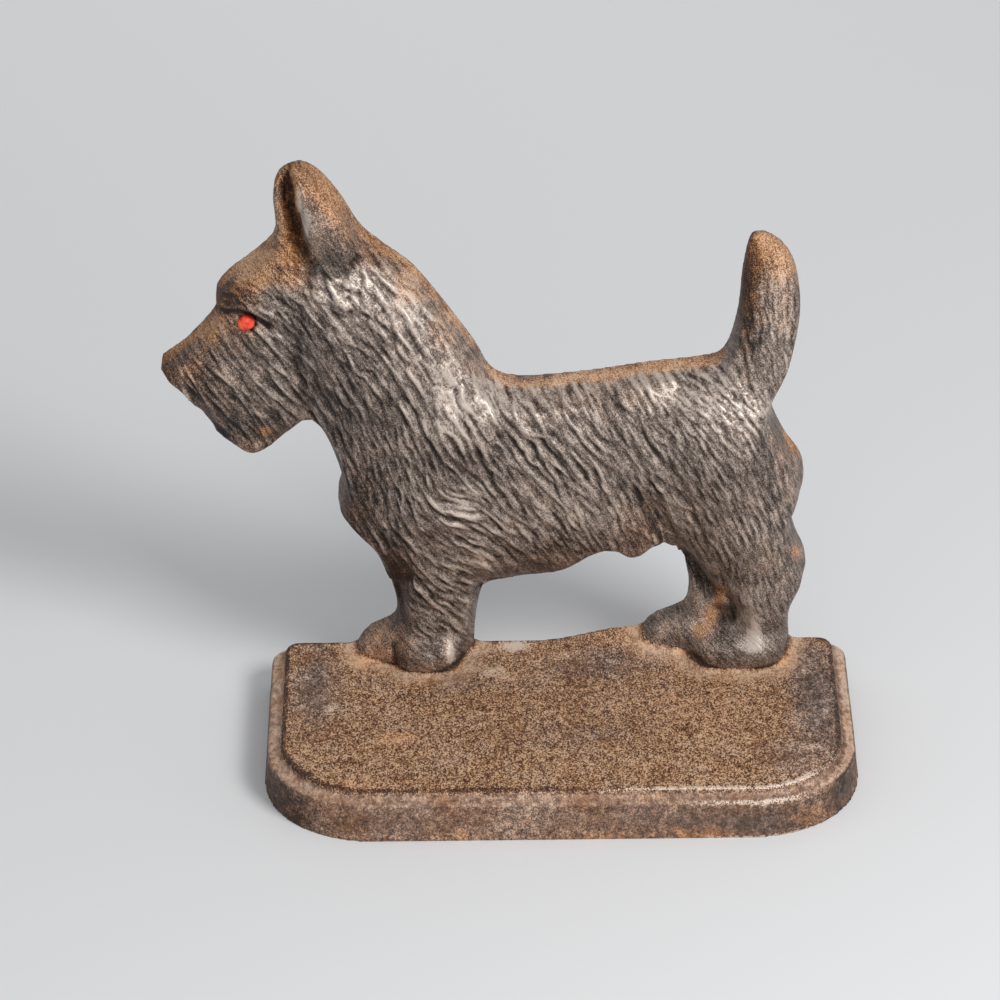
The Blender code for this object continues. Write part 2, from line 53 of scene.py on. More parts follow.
# Patches on the skin: where (mm), how far they reach along x, y and z, and how strong they are
RUST_PATCHES = [
    ((-49, 38, 17), (7, 9, 4), 1.3), ((91, 37, 17), (5.5, 15, 5), 1.25), ((60, 37, 20), (5, 6, 5), 1.1),
    ((-38, -13, 17), (7, 4, 4), 1.9), ((-55, -40, 16), (14, 5, 4), 0.8), ((38, 44, 20), (26, 7, 6), 0.7),
    ((-58, 46, 17), (14, 4, 4), 0.6), ((10, 38, 17), (8, 7, 4), 0.5), ((30, -52, 1), (26, 9, 3.5), 0.8),
    ((66, -52, 1), (22, 9, 5), 0.85), ((96, -42, 4), (12, 12, 7), 0.85), ((109, -14, 3), (9, 22, 5), 0.7),
    ((-20, -52, 2), (14, 9, 5), 0.6), ((-86, -8, 12), (8, 14, 6), 0.4), ((62, 2, 17), (30, 22, 4), 0.4),
    ((45, -44, 12), (10, 6, 4), 0.5)]
PALE_SPOTS = [
    ((-59, 15.5, 17), (1, 1.6, 4), 1.0), ((59.8, 23.4, 17), (0.9, 1.5, 4), 1.0),
    ((97.9, 26.6, 17), (1, 1.5, 4), 1.0), ((61.7, -12.8, 17), (0.9, 1.5, 4), 1.0),
    ((1, 45, 17), (6, 4, 4), 1.5), ((-6, 29, 17), (5, 3, 4), 0.75), ((-61, 6, 17), (2, 3, 4), 0.6),
    ((18, 37, 17), (3, 3, 4), 0.5), ((104, 4, 17), (1.5, 9, 4), 0.5), ((98, -20, 17), (5, 2, 4), 0.6)]
GREY_PATCHES = [
    ((-66, 20, 17), (9, 34, 4), 0.9), ((102, 8, 17), (11.5, 44, 4), 1.2), ((110, -34, 9), (9, 14, 9), 1.3),
    ((74, -52, 5), (40, 9, 10), 1.0), ((92, -26, 17), (15, 14, 4), 0.65), ((-20, 24, 17), (12, 10, 4), 0.5),
    ((30, 32, 17), (22, 12, 5), 0.7), ((45, -52, 9), (30, 9, 6), 0.6), ((-40, -52, 8), (30, 9, 8), 0.5),
    ((20, -10, 17), (30, 9, 4), 0.35)]


def select_only(piece):
    bpy.ops.object.select_all(action="DESELECT")
    piece.select_set(True)
    bpy.context.view_layer.objects.active = piece


def merged_copy(node, name):
    """A new piece with the shape of a CAD node, its loose triangles joined."""
    piece = bpy.data.objects.new(name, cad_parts[node].data.copy())
    bpy.context.scene.collection.objects.link(piece)
    select_only(piece)
    bpy.ops.object.mode_set(mode="EDIT")
    bpy.ops.mesh.select_all(action="SELECT")
    bpy.ops.mesh.remove_doubles(threshold=1e-6)
    bpy.ops.object.mode_set(mode="OBJECT")
    piece.data.materials.clear()
    return piece


def modify(piece, kind, **settings):
    """Adds one modifier to the piece and applies it."""
    modifier = piece.modifiers.new(kind.lower(), kind)
    for name, value in settings.items():
        setattr(modifier, name, value)
    select_only(piece)
    bpy.ops.object.modifier_apply(modifier=modifier.name)


def points_of(piece):
    co = np.empty(len(piece.data.vertices) * 3)
    piece.data.vertices.foreach_get("co", co)
    return co.reshape(-1, 3)


def normals_of(piece):
    normals = np.empty(len(piece.data.vertices) * 3)
    piece.data.vertices.foreach_get("normal", normals)
    return normals.reshape(-1, 3)


def move_points(piece, co):
    piece.data.vertices.foreach_set("co", co.ravel())
    piece.data.update()


def paint(piece, name, values):
    """Stores one number for each point, for the material to read."""
    layer = piece.data.attributes.new(name, "FLOAT", "POINT")
    layer.data.foreach_set("value", np.asarray(values, np.float32))


def ramp(values, low, high):
    """0 below low, 1 above high, and smooth between."""
    t = np.clip((values - low) / (high - low), 0, 1)
    return t * t * (3 - 2 * t)


def softened(piece, values, rounds):
    """Each point's value averaged with its neighbours', a number of times over."""
    edges = np.empty(len(piece.data.edges) * 2, np.int32)
    piece.data.edges.foreach_get("vertices", edges)
    a, b = edges.reshape(-1, 2).T
    count = len(values)
    around = 1 + np.bincount(a, minlength=count) + np.bincount(b, minlength=count)
    columns = values.reshape(count, -1).T
    for _ in range(rounds):
        columns = [(c + np.bincount(a, c[b], count) + np.bincount(b, c[a], count)) / around for c in columns]
    return np.array(columns).T.reshape(values.shape)


def proud(piece, rounds):
    """How far each point stands proud of its surroundings, in millimetres."""
    co = points_of(piece)
    return ((co - softened(piece, co, rounds)) * normals_of(piece)).sum(1) / MM


def linear(colour):
    """An sRGB hex value as a linear colour."""
    channels = [int(colour[i:i + 2], 16) / 255 for i in (1, 3, 5)]
    return (*[c / 12.92 if c <= 0.04045 else ((c + 0.055) / 1.055) ** 2.4 for c in channels], 1)


def add(material, kind, inputs, **settings):
    """Adds a shader node. An input is given a value, or a socket to be joined to."""
    made = material.node_tree.nodes.new("ShaderNode" + kind)
    for name, value in settings.items():
        setattr(made, name, value)
    for key, value in inputs.items():
        if isinstance(value, bpy.types.NodeSocket):
            material.node_tree.links.new(value, made.inputs[key])
        else:
            made.inputs[key].default_value = value
    return made


plinth = merged_copy("base_casting", "plinth")
modify(plinth, "REMESH", mode="VOXEL", voxel_size=PLINTH_GRID)
modify(plinth, "SMOOTH", factor=0.5, iterations=3)
dog_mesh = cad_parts["dog_casting"].data
dog_solid = BVHTree.FromPolygons([v.co for v in dog_mesh.vertices], [p.vertices[:] for p in dog_mesh.polygons])
co = points_of(plinth)
facing = normals_of(plinth)
near_foot = np.full(len(co), 1.0)  # metres; a point that is far from the dog's feet keeps this
on_panel = (co[:, 2] > FEET_ABOVE) & (facing[:, 2] > 0.4) & (co[:, 1] > FEET_BEHIND)
for i in np.nonzero(on_panel)[0]:
    near_foot[i] = dog_solid.find_nearest(Vector(co[i]), FEET_REACH)[3] or FEET_REACH
co[:, 2] += np.clip(FILLET - near_foot, 0, None) ** 2 / (2 * FILLET)
move_points(plinth, co)
group = plinth.vertex_groups.new(name="cast skin")
group.add([int(i) for i in np.nonzero(co[:, 2] > RIM_FOOT)[0]], 1, "REPLACE")
for name, size, depth in (("mould waviness", 16, 0.35), ("sand skin", 1.9, 0.16)):  # mm
    texture = bpy.data.textures.new(name, "CLOUDS")
    texture.noise_scale = size * MM
    texture.noise_depth = 2
    modify(plinth, "DISPLACE", texture=texture, texture_coords="LOCAL", strength=depth * MM,
           mid_level=SKIN_TOP, vertex_group="cast skin")
plinth.data.shade_smooth()


def patches(co, listed):
    """How strongly the listed patches cover each point, fading from their middles."""
    found = np.zeros(len(co))
    for middle, reach, strength in listed:
        off = np.linalg.norm((co / MM - np.array(middle)) / np.array(reach), axis=1)
        found = np.maximum(found, strength * np.clip(1.25 - off, 0, 1))
    return found


co = points_of(plinth)
facing = normals_of(plinth)
x, y, z = co.T / MM
# How far each point belongs to the raised panel and to each side of the plinth, from 0 to 1
field = ramp(z, 14.6, 15.9)
front = ramp(-y, 15, 42)
left = ramp(-x, 40, 75)
right = ramp(x, 12, 52)
far_right = ramp(x, 97, 105)
# The edges that stand proud, on the panel and on the rim, and the step between the two
edge = proud(plinth, 5)
line = ramp(edge, 0.03, 0.15)
panel_line = line * ramp(z, 14.2, 15.2)
rim_line = line - panel_line
outer_line = rim_line * ramp(facing[:, 0], 0.6, 0.9)
crease = ramp(-edge, 0.12, 0.28) * far_right
rim = ramp(facing[:, 2], 0.3, 0.8) * (1 - field) * ramp(z, 10.5, 12.2)
# The walls at the two ends, below the rim, where shade is painted on
left_wall = ramp(-facing[:, 0], 0.15, 0.7) * ramp(-z, -12.5, -11) * ramp(-x, 60, 76)
right_wall = ramp(x, 66, 92) * ramp(-z, -11.5, -9.5)

# Painted highlight: a paler line along the panel's front edge and the rim's outer edge at the right front, where
# the key light falls, on edges that are rubbed too
lightened = panel_line * right * front * (1 - 0.7 * far_right) + 0.85 * rim_line * ramp(x, 45, 75) * ramp(-y, 38, 48)
# Painted shade: a dark line along the panel's edge on the left and front-left, away from the key light; a ring
# right at the feet; the crease, the rim's outer edge and the panel's edge at the far right; and the two end walls
painted_shade = np.maximum(panel_line * (1 - right) * (0.75 + 0.25 * left), 0.6 * ramp(1.6 * MM - near_foot, 0, 1.6 * MM))
painted_shade = np.maximum(painted_shade, (0.8 * crease + 0.6 * outer_line + 0.7 * panel_line * (1 - front)) * far_right)
painted_shade = np.maximum(painted_shade, 0.7 * left_wall) + 0.25 * right_wall
silt = ramp(9 * MM - near_foot, 0, 6 * MM) * ramp(near_foot, 0.2 * MM, 1.6 * MM)
# The rim's top is painted paler: smooth rubbed metal, paler still at the far right, and lifted at the left end as
# painted light, where the key light leaves it darker
for name, values in (("rust", patches(co, RUST_PATCHES)), ("grey", patches(co, GREY_PATCHES)), ("field", field),
                     ("pale", patches(co, PALE_SPOTS)), ("lightened", lightened),
                     ("rim", rim * (1 + 2 * far_right + 0.9 * left)), ("painted_shade", painted_shade), ("silt", silt)):
    paint(plinth, name, values)

# Sand-cast grey iron, never painted: a thin brown oxide over dark metal. The eye sees a fine salt-and-pepper
# speckle of sand grain, orange bloom in patches, paler rubbed edges with a painted highlight on the right front,
# and painted shade in the step of the panel, round the feet and on the end walls.
SAND = 0.5  # mm, a medium moulding sand, drawn a little coarse so that it shows
GRIT = 2.2  # mm
STAIN = 15  # mm
plinth_iron = bpy.data.materials.new("sand-cast iron with brown oxide skin")
plinth_iron.use_nodes = True
shader = plinth_iron.node_tree.nodes["Principled BSDF"]
place = add(plinth_iron, "TexCoord", {}).outputs["Object"]
sand = add(plinth_iron, "VectorMath", {0: place, 1: (1, 0.65, 1)}, operation="MULTIPLY").outputs[0]
grain, grit, cloud = (
    add(plinth_iron, "TexNoise", {"Vector": at, "Scale": 1000 / size, "Detail": detail, "Roughness": roughness})
    .outputs["Fac"]
    for at, size, detail, roughness in ((sand, SAND, 2.0, 0.65), (sand, GRIT, 4.0, 0.8), (place, STAIN, 5.0, 0.6)))
rust, grey, pale, field, rim, lightened, painted_shade, silt = (
    add(plinth_iron, "Attribute", {}, attribute_name=name).outputs["Fac"]
    for name in ("rust", "grey", "pale", "field", "rim", "lightened", "painted_shade", "silt"))
speck, clump, drift = (
    add(plinth_iron, "MapRange", {0: noise, 1: low, 2: high, 3: -0.5, 4: 0.5}).outputs[0]
    for noise, low, high in ((grain, 0.38, 0.62), (grit, 0.36, 0.64), (cloud, 0.3, 0.7)))
# How much the grain shows, and then how light the skin is
coarse = add(plinth_iron, "MapRange", {0: field, 3: 0.55, 4: 1.0}).outputs[0]
for part, share in ((rim, -0.22), (silt, -0.55), (grey, -0.4), (drift, 0.25)):
    coarse = add(plinth_iron, "Math", {0: part, 1: share, 2: coarse}, operation="MULTIPLY_ADD").outputs[0]
# The painted shade darkens the tone, and the rim's top is painted paler
tone = 0.5
for part, share in ((speck, coarse), (clump, 0.5), (drift, 0.2), (field, 0.06), (pale, 0.6), (rim, 0.13),
                    (grey, -0.15), (silt, 0.3), (rust, 0.1), (painted_shade, -0.6)):
    tone = add(plinth_iron, "Math", {0: part, 1: share, 2: tone}, operation="MULTIPLY_ADD").outputs[0]
shades = []
for stops in (((0.0, "#3a2417"), (0.35, "#774f35"), (0.65, "#a97c58"), (1.0, "#dcb893")),
              ((0.0, "#33271f"), (0.35, "#67544a"), (0.65, "#967c6d"), (1.0, "#cdb3a2")),
              ((0.0, "#5c3a22"), (0.3, "#935f3a"), (0.6, "#b67c50"), (1.0, "#e0b28c"))):
    shade = add(plinth_iron, "ValToRGB", {0: tone})
    while len(shade.color_ramp.elements) < len(stops):
        shade.color_ramp.elements.new(0.5)
    for element, (position, colour) in zip(shade.color_ramp.elements, stops):
        element.position, element.color = position, linear(colour)
    shades.append(shade.outputs[0])
brown, dusty, orange = shades
dull = add(plinth_iron, "Math", {0: field, 1: -0.55, 2: 0.6}, operation="MULTIPLY_ADD").outputs[0]
dull = add(plinth_iron, "Math", {0: silt, 1: 0.3, 2: dull}, operation="MULTIPLY_ADD").outputs[0]
dull = add(plinth_iron, "Math", {0: grey, 1: dull}, operation="MAXIMUM").outputs[0]
dull = add(plinth_iron, "Math", {0: drift, 1: 0.8, 2: dull}, operation="MULTIPLY_ADD", use_clamp=True).outputs[0]
skin = add(plinth_iron, "Mix", {0: dull, 6: brown, 7: dusty}, data_type="RGBA").outputs[2]
bloom = rust
for part, share in ((drift, 1.1), (clump, 0.6), (painted_shade, -0.9)):
    bloom = add(plinth_iron, "Math", {0: part, 1: share, 2: bloom}, operation="MULTIPLY_ADD").outputs[0]
bloom = add(plinth_iron, "MapRange", {0: bloom, 1: 0.4, 2: 1.0, 4: 0.9}).outputs[0]
skin = add(plinth_iron, "Mix", {0: bloom, 6: skin, 7: orange}, data_type="RGBA").outputs[2]
# Rubbed bare spots, and the painted highlight on the right front edges, go pale and glossier
bare_metal_and_highlight = add(plinth_iron, "Math", {0: lightened, 1: pale}, operation="MAXIMUM").outputs[0]
for part, share in ((speck, 0.75), (clump, 0.5)):
    bare_metal_and_highlight = add(plinth_iron, "Math", {0: part, 1: share, 2: bare_metal_and_highlight}, operation="MULTIPLY_ADD").outputs[0]
bare_metal_and_highlight = add(plinth_iron, "MapRange", {0: bare_metal_and_highlight, 1: 0.45, 2: 1.0, 4: 0.85}).outputs[0]
skin = add(plinth_iron, "Mix", {0: bare_metal_and_highlight, 6: skin, 7: linear("#dcc8b6")}, data_type="RGBA").outputs[2]
gloss = add(plinth_iron, "MapRange", {0: bare_metal_and_highlight, 3: 0.66, 4: 0.42}).outputs[0]
bump = add(plinth_iron, "Bump", {"Strength": 0.7, "Distance": 0.16 * MM, "Height": grain}).outputs[0]
bump = add(plinth_iron, "Bump", {"Strength": 0.5, "Distance": 0.3 * MM, "Height": grit, "Normal": bump}).outputs[0]
for socket, value in (("Base Color", skin), ("Roughness", gloss), ("Normal", bump)):
    plinth_iron.node_tree.links.new(value, shader.inputs[socket])
shader.inputs["Metallic"].default_value = 0.25
plinth.data.materials.append(plinth_iron)
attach(plinth, "root")
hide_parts("base_casting")

# Dog casting. One grey iron casting, flat behind and hollowed: the front is a terrier in half relief whose
# wiry coat was cut lock by lock into the pattern. The CAD solid is copied, and the coat is laid on it as
# tapered locks that follow the lie of the hair, long on the muzzle, deep on neck and ribs, fine on the haunch.
DOG_GRID = 0.55 * MM
DOG_KEPT = 0.64  # share of its triangles that the carved mesh keeps
BACK_KEPT = 0.1  # the same for its bare back, before the carving
BACK_FACE = 49.0  # mm along y
BACK_BAND = 4  # mm in front of that face that count as back
# The remeshed surface is smoothed so many times, by so much, and each time a little more is given back
SMOOTHED, SMOOTHED_BY, GIVEN_BACK = 8, 0.5, 0.52
# The coat is drawn on a sheet that leans back 30 degrees, as the carver looks down on the dog: x runs to the
# tail, and w runs up
SIN_LEAN, COS_LEAN = 0.5, 0.866
FUR_PITCH = 0.25  # mm, the finest step of the carving
FUR_LOW = np.array([-118.0, 14.0])  # the sheet's corners (x, w) in mm
FUR_HIGH = np.array([102.0, 204.0])
# name, x, w (mm), lie of the hair (degrees below the way to the tail), lock width, length, height (mm),
# curl, burnish and painted highlight, rust
COAT = [
    ("nose tip", -110, 130, 70, 1.6, 6, 0.2, 0, 0.2, 0.45),
    ("muzzle top front", -102, 136, 60, 2.4, 16, 0.6, 0, 0.25, 0.4),
    ("muzzle bridge", -99, 145, 50, 1.6, 6, 0.15, 0, 0.35, 1),
    ("muzzle middle", -92, 130, 48, 3.0, 26, 1.0, 0, 0.5, 0.28),
    ("muzzle rear", -80, 132, 44, 3.2, 25, 1.05, 0, 0.55, 0.16),
    ("muzzle lower front", -101, 123, 50, 2.6, 20, 0.85, 0, 0.2, 0.25),
    ("muzzle lower", -92, 119, 46, 3.0, 23, 0.95, 0, 0.3, 0.12),
    ("beard", -87, 112, 48, 2.4, 14, 0.7, 0, 0.3, 0.1),
    ("beard tip", -84, 105, 62, 2.0, 8, 0.45, 0, 0.25, 0.3),
    ("jowl", -74, 122, 42, 2.7, 20, 0.8, 0, 0.35, 0),
    ("below the eye", -89, 141, 60, 2.3, 12, 0.6, 0, 0.3, 0.35),
    ("brow", -90, 155, 28, 1.6, 6, 0.45, 0.3, 0.15, 0.3),
    ("brow rear", -77, 148, 34, 2.2, 9, 0.75, 0.2, 0.45, 0.05),
    ("forehead", -82, 163, 40, 1.6, 5, 0.12, 0, 0.45, 1),
    ("crown", -72, 164, 42, 2.0, 8, 0.35, 0, 0.35, 0.7),
    ("cheek front", -70, 146, 50, 2.4, 10, 0.8, 0.2, 0.35, 0),
    ("cheek", -66, 137, 52, 2.4, 11, 0.85, 0.2, 0.3, 0),
    ("bright cheek", -54, 155, 42, 4.6, 9, 1.2, 0.7, 0.88, 0),
    ("behind the ear", -43, 156, 52, 4.8, 10, 1.25, 0.7, 0.9, 0.05),
    ("upper neck", -51, 145, 48, 3.8, 12, 1.05, 0.3, 0.7, 0),
    ("front of neck", -61, 127, 62, 2.5, 12, 0.8, 0.1, 0.25, 0.05),
    ("throat", -54, 111, 66, 2.3, 12, 0.7, 0.1, 0.25, 0.05),
    ("mane", -30, 143, 54, 5.2, 11, 1.45, 0.55, 0.95, 0.05),
    ("lower mane", -20, 128, 56, 5.0, 12, 1.4, 0.5, 0.95, 0.1),
    ("withers", -9, 120, 66, 4.6, 12, 1.35, 0.5, 1, 0.1),
    ("shoulder", -29, 117, 62, 3.8, 14, 1.15, 0.25, 0.6, 0),
    ("point of shoulder", -18, 110, 58, 2.8, 12, 0.95, 0.2, 0.8, 0),
    ("upper chest", -47, 97, 72, 2.3, 11, 0.7, 0.1, 0.3, 0.15),
    ("chest", -52, 83, 62, 2.0, 7, 0.45, 0.1, 0.1, 0.2),
    ("lower shoulder", -29, 99, 68, 2.5, 12, 0.85, 0.1, 0.35, 0.05),
    ("foreleg top", -35, 85, 70, 2.3, 10, 0.75, 0.1, 0.35, 0.05),
    ("elbow curls", -15, 83, 10, 2.0, 8, 1.0, 0.1, 0.6, 0),
    ("behind the elbow", -6, 87, 52, 2.6, 12, 0.8, 0.1, 0.35, 0),
    ("foreleg", -29, 72, 46, 2.6, 10, 0.95, 0.1, 0.4, 0),
    ("foreleg rear", -19, 70, 24, 2.5, 10, 0.95, 0.1, 0.45, 0),
    ("foreleg middle", -26, 59, 36, 2.6, 10, 0.95, 0.1, 0.4, 0),
    ("foreleg middle rear", -18, 56, 24, 2.5, 10, 0.95, 0.1, 0.45, 0),
    ("pastern", -22, 46, 38, 2.2, 8, 0.65, 0.1, 0.5, 0.05),
    ("front paw", -21, 34, 25, 1.8, 4, 0.1, 0, 0.3, 0.2),
    ("far foreleg", -36, 60, 80, 1.8, 6, 0.06, 0, 0.1, 0.4),
    ("far front paw", -43, 38, 60, 1.8, 5, 0.05, 0, 0.2, 0.5),
    ("rib front", 3, 108, 54, 3.3, 15, 1.05, 0.1, 0.45, 0),
    ("ribs", 23, 106, 50, 3.7, 17, 1.15, 0.1, 0.4, 0),
    ("rib top front", 9, 122, 64, 3.4, 14, 1.15, 0.25, 0.75, 0.3),
    ("rib top", 22, 123, 62, 3.5, 15, 1.15, 0.2, 0.6, 0.3),
    ("rib top rear", 38, 122, 64, 3.4, 14, 1.05, 0.2, 0.6, 0.3),
    ("loin", 38, 102, 58, 3.1, 15, 0.95, 0.1, 0.3, 0),
    ("belly front", 8, 80, 48, 2.5, 11, 0.75, 0.1, 0.3, 0.05),
    ("belly", 26, 86, 60, 2.5, 11, 0.75, 0.1, 0.3, 0.05),
    ("belly edge", 16, 71, 48, 1.9, 6, 0.45, 0.1, 0.2, 0.15),
    ("belly tuft", 42, 78, 70, 1.9, 6, 0.4, 0.1, 0.3, 0.3),
    ("flank", 49, 109, 56, 2.5, 10, 0.75, 0.1, 0.35, 0),
    ("haunch top", 64, 120, 44, 2.1, 7, 0.6, 0.3, 0.75, 0.05),
    ("rump", 75, 115, 48, 2.1, 6, 0.6, 0.4, 1, 0),
    ("haunch", 65, 96, 56, 2.1, 9, 0.5, 0.1, 0.3, 0),
    ("haunch front", 53, 88, 50, 2.1, 9, 0.5, 0.1, 0.25, 0.05),
    ("thigh", 72, 76, 62, 2.0, 8, 0.4, 0.1, 0.3, 0.05),
    ("rump edge", 91, 101, 75, 2.0, 7, 0.3, 0.1, 0.4, 0.25),
    ("hock", 90, 62, 80, 1.8, 6, 0.25, 0, 0.35, 0.2),
    ("shin", 77, 52, 78, 1.8, 6, 0.25, 0, 0.3, 0),
    ("hind paw", 79, 36, 30, 1.6, 4, 0.08, 0, 0.35, 0.05),
    ("far hind leg", 58, 52, 80, 1.6, 5, 0.06, 0, 0.2, 0.25),
    ("far hind paw", 53, 42, 40, 1.6, 5, 0.06, 0, 0.3, 0.2),
    ("tail root", 85, 131, 80, 1.8, 7, 0.35, 0, 0.5, 0.1),
    ("tail", 87, 148, 88, 1.8, 8, 0.3, 0, 0.35, 0.3),
    ("tail tip", 85, 168, 88, 1.6, 5, 0.15, 0, 0.4, 0.75),
    ("ear top", -61, 191, 75, 1.6, 4, 0.05, 0, 0.4, 0.7),
    ("ear", -55, 183, 75, 1.6, 4, 0.05, 0, 0.45, 0.75),
    ("ear rear edge", -50, 175, 75, 1.6, 4, 0.05, 0, 0.4, 0.6),
    ("ear front edge", -63, 174, 75, 1.6, 4, 0.1, 0, 0.6, 0.3),
    ("ear base", -56, 165, 70, 1.6, 5, 0.15, 0, 0.45, 0.1),
    ("neck edge high", -42.5, 167, 52, 2.2, 8, 0.4, 0.3, 0.3, 0.65),
    ("neck edge", -32, 157, 52, 2.2, 8, 0.4, 0.3, 0.4, 0.7),
    ("neck edge low", -21.5, 142.5, 56, 2.2, 8, 0.45, 0.3, 0.45, 0.6),
    ("neck foot", -11.5, 131, 62, 2.3, 8, 0.5, 0.3, 0.5, 0.4),
]
# Places with no locks: the rounded back of the ear
EAR_LOBE = [
    (-71, 196), (-68.3, 186.8), (-66.3, 178.6), (-64.7, 172.8), (-63.6, 166.5), (-62.0, 162.6), (-58.6, 160.3),
    (-54.6, 160.6), (-50.6, 163.2), (-48.4, 167.5), (-47.8, 173), (-50, 181), (-56, 190), (-62, 197)]
# Lines cut or raised by hand, and lines only painted dark as shade: name, points (x, w), width, depth (mm, below 0
# where it stands up), darkness (painted shade; below 0, a painted highlight)
CUTS = [
    ("ear recess", [(-71.0, 190), (-70.0, 183), (-68.9, 177), (-67.2, 171), (-65.2, 166)], 3.2, 0.4, 0.3),
    ("ear front fold", [(-70.4, 195.6), (-71.4, 190), (-71.8, 184)], 1.2, 0.4, 0.6),
    ("ear rim", [(-69.0, 193.5), (-66.4, 187), (-64.2, 179), (-62.4, 172)], 1.8, -0.45, -0.4),
    ("under the ear",
     [(-63.0, 164.0), (-60.6, 160.4), (-55.6, 159.2), (-51, 161.4), (-48, 165.5)], 2.2, 0.45, 0.55),
    ("under the brow",
     [(-95.6, 150.2), (-91.5, 148.4), (-87.5, 148.4), (-83.5, 147.4), (-80, 144.9), (-77, 143.2)], 1.5, 0.5, 0.7),
    ("behind the muzzle", [(-67.4, 146.5), (-68.6, 138.8), (-68.2, 129.3), (-67.5, 122.6)], 3.0, 0.45, 0.3),
    ("hock fold",
     [(57.7, 68.5), (63.6, 60.2), (67.6, 55.8), (72.0, 54.2), (74.4, 51.1), (75.2, 46.5)], 2.4, 0.4, 0.35),
    ("flank crease", [(41.0, 89), (42.3, 87), (45.0, 81.9)], 2.3, 0.5, 0.55),
    # painted shade only, not cut
    ("foot of the flank crease", [(45.0, 81.9), (47.6, 76.1), (49.9, 73.2)], 2.3, 0, 0.6),
    ("between the front paws", [(-39.9, 37.5), (-39.4, 33), (-38.8, 28.0)], 2.0, 0.3, 0.7),
    # painted shadows round the soles, not cut
    ("front sole",
     [(-48, 32.5), (-45, 29.5), (-41, 28), (-37.8, 27.6), (-33.0, 27.2), (-27.9, 27.2), (-22.9, 29.2),
      (-18.1, 32.2), (-12.4, 36.7)], 1.6, 0, 0.6),
    ("hind sole",
     [(60.8, 34.2), (65.7, 30.2), (73.0, 26.4), (79.5, 27.0), (85.1, 29.0), (90.7, 30.0)], 1.6, 0, 0.6),
]
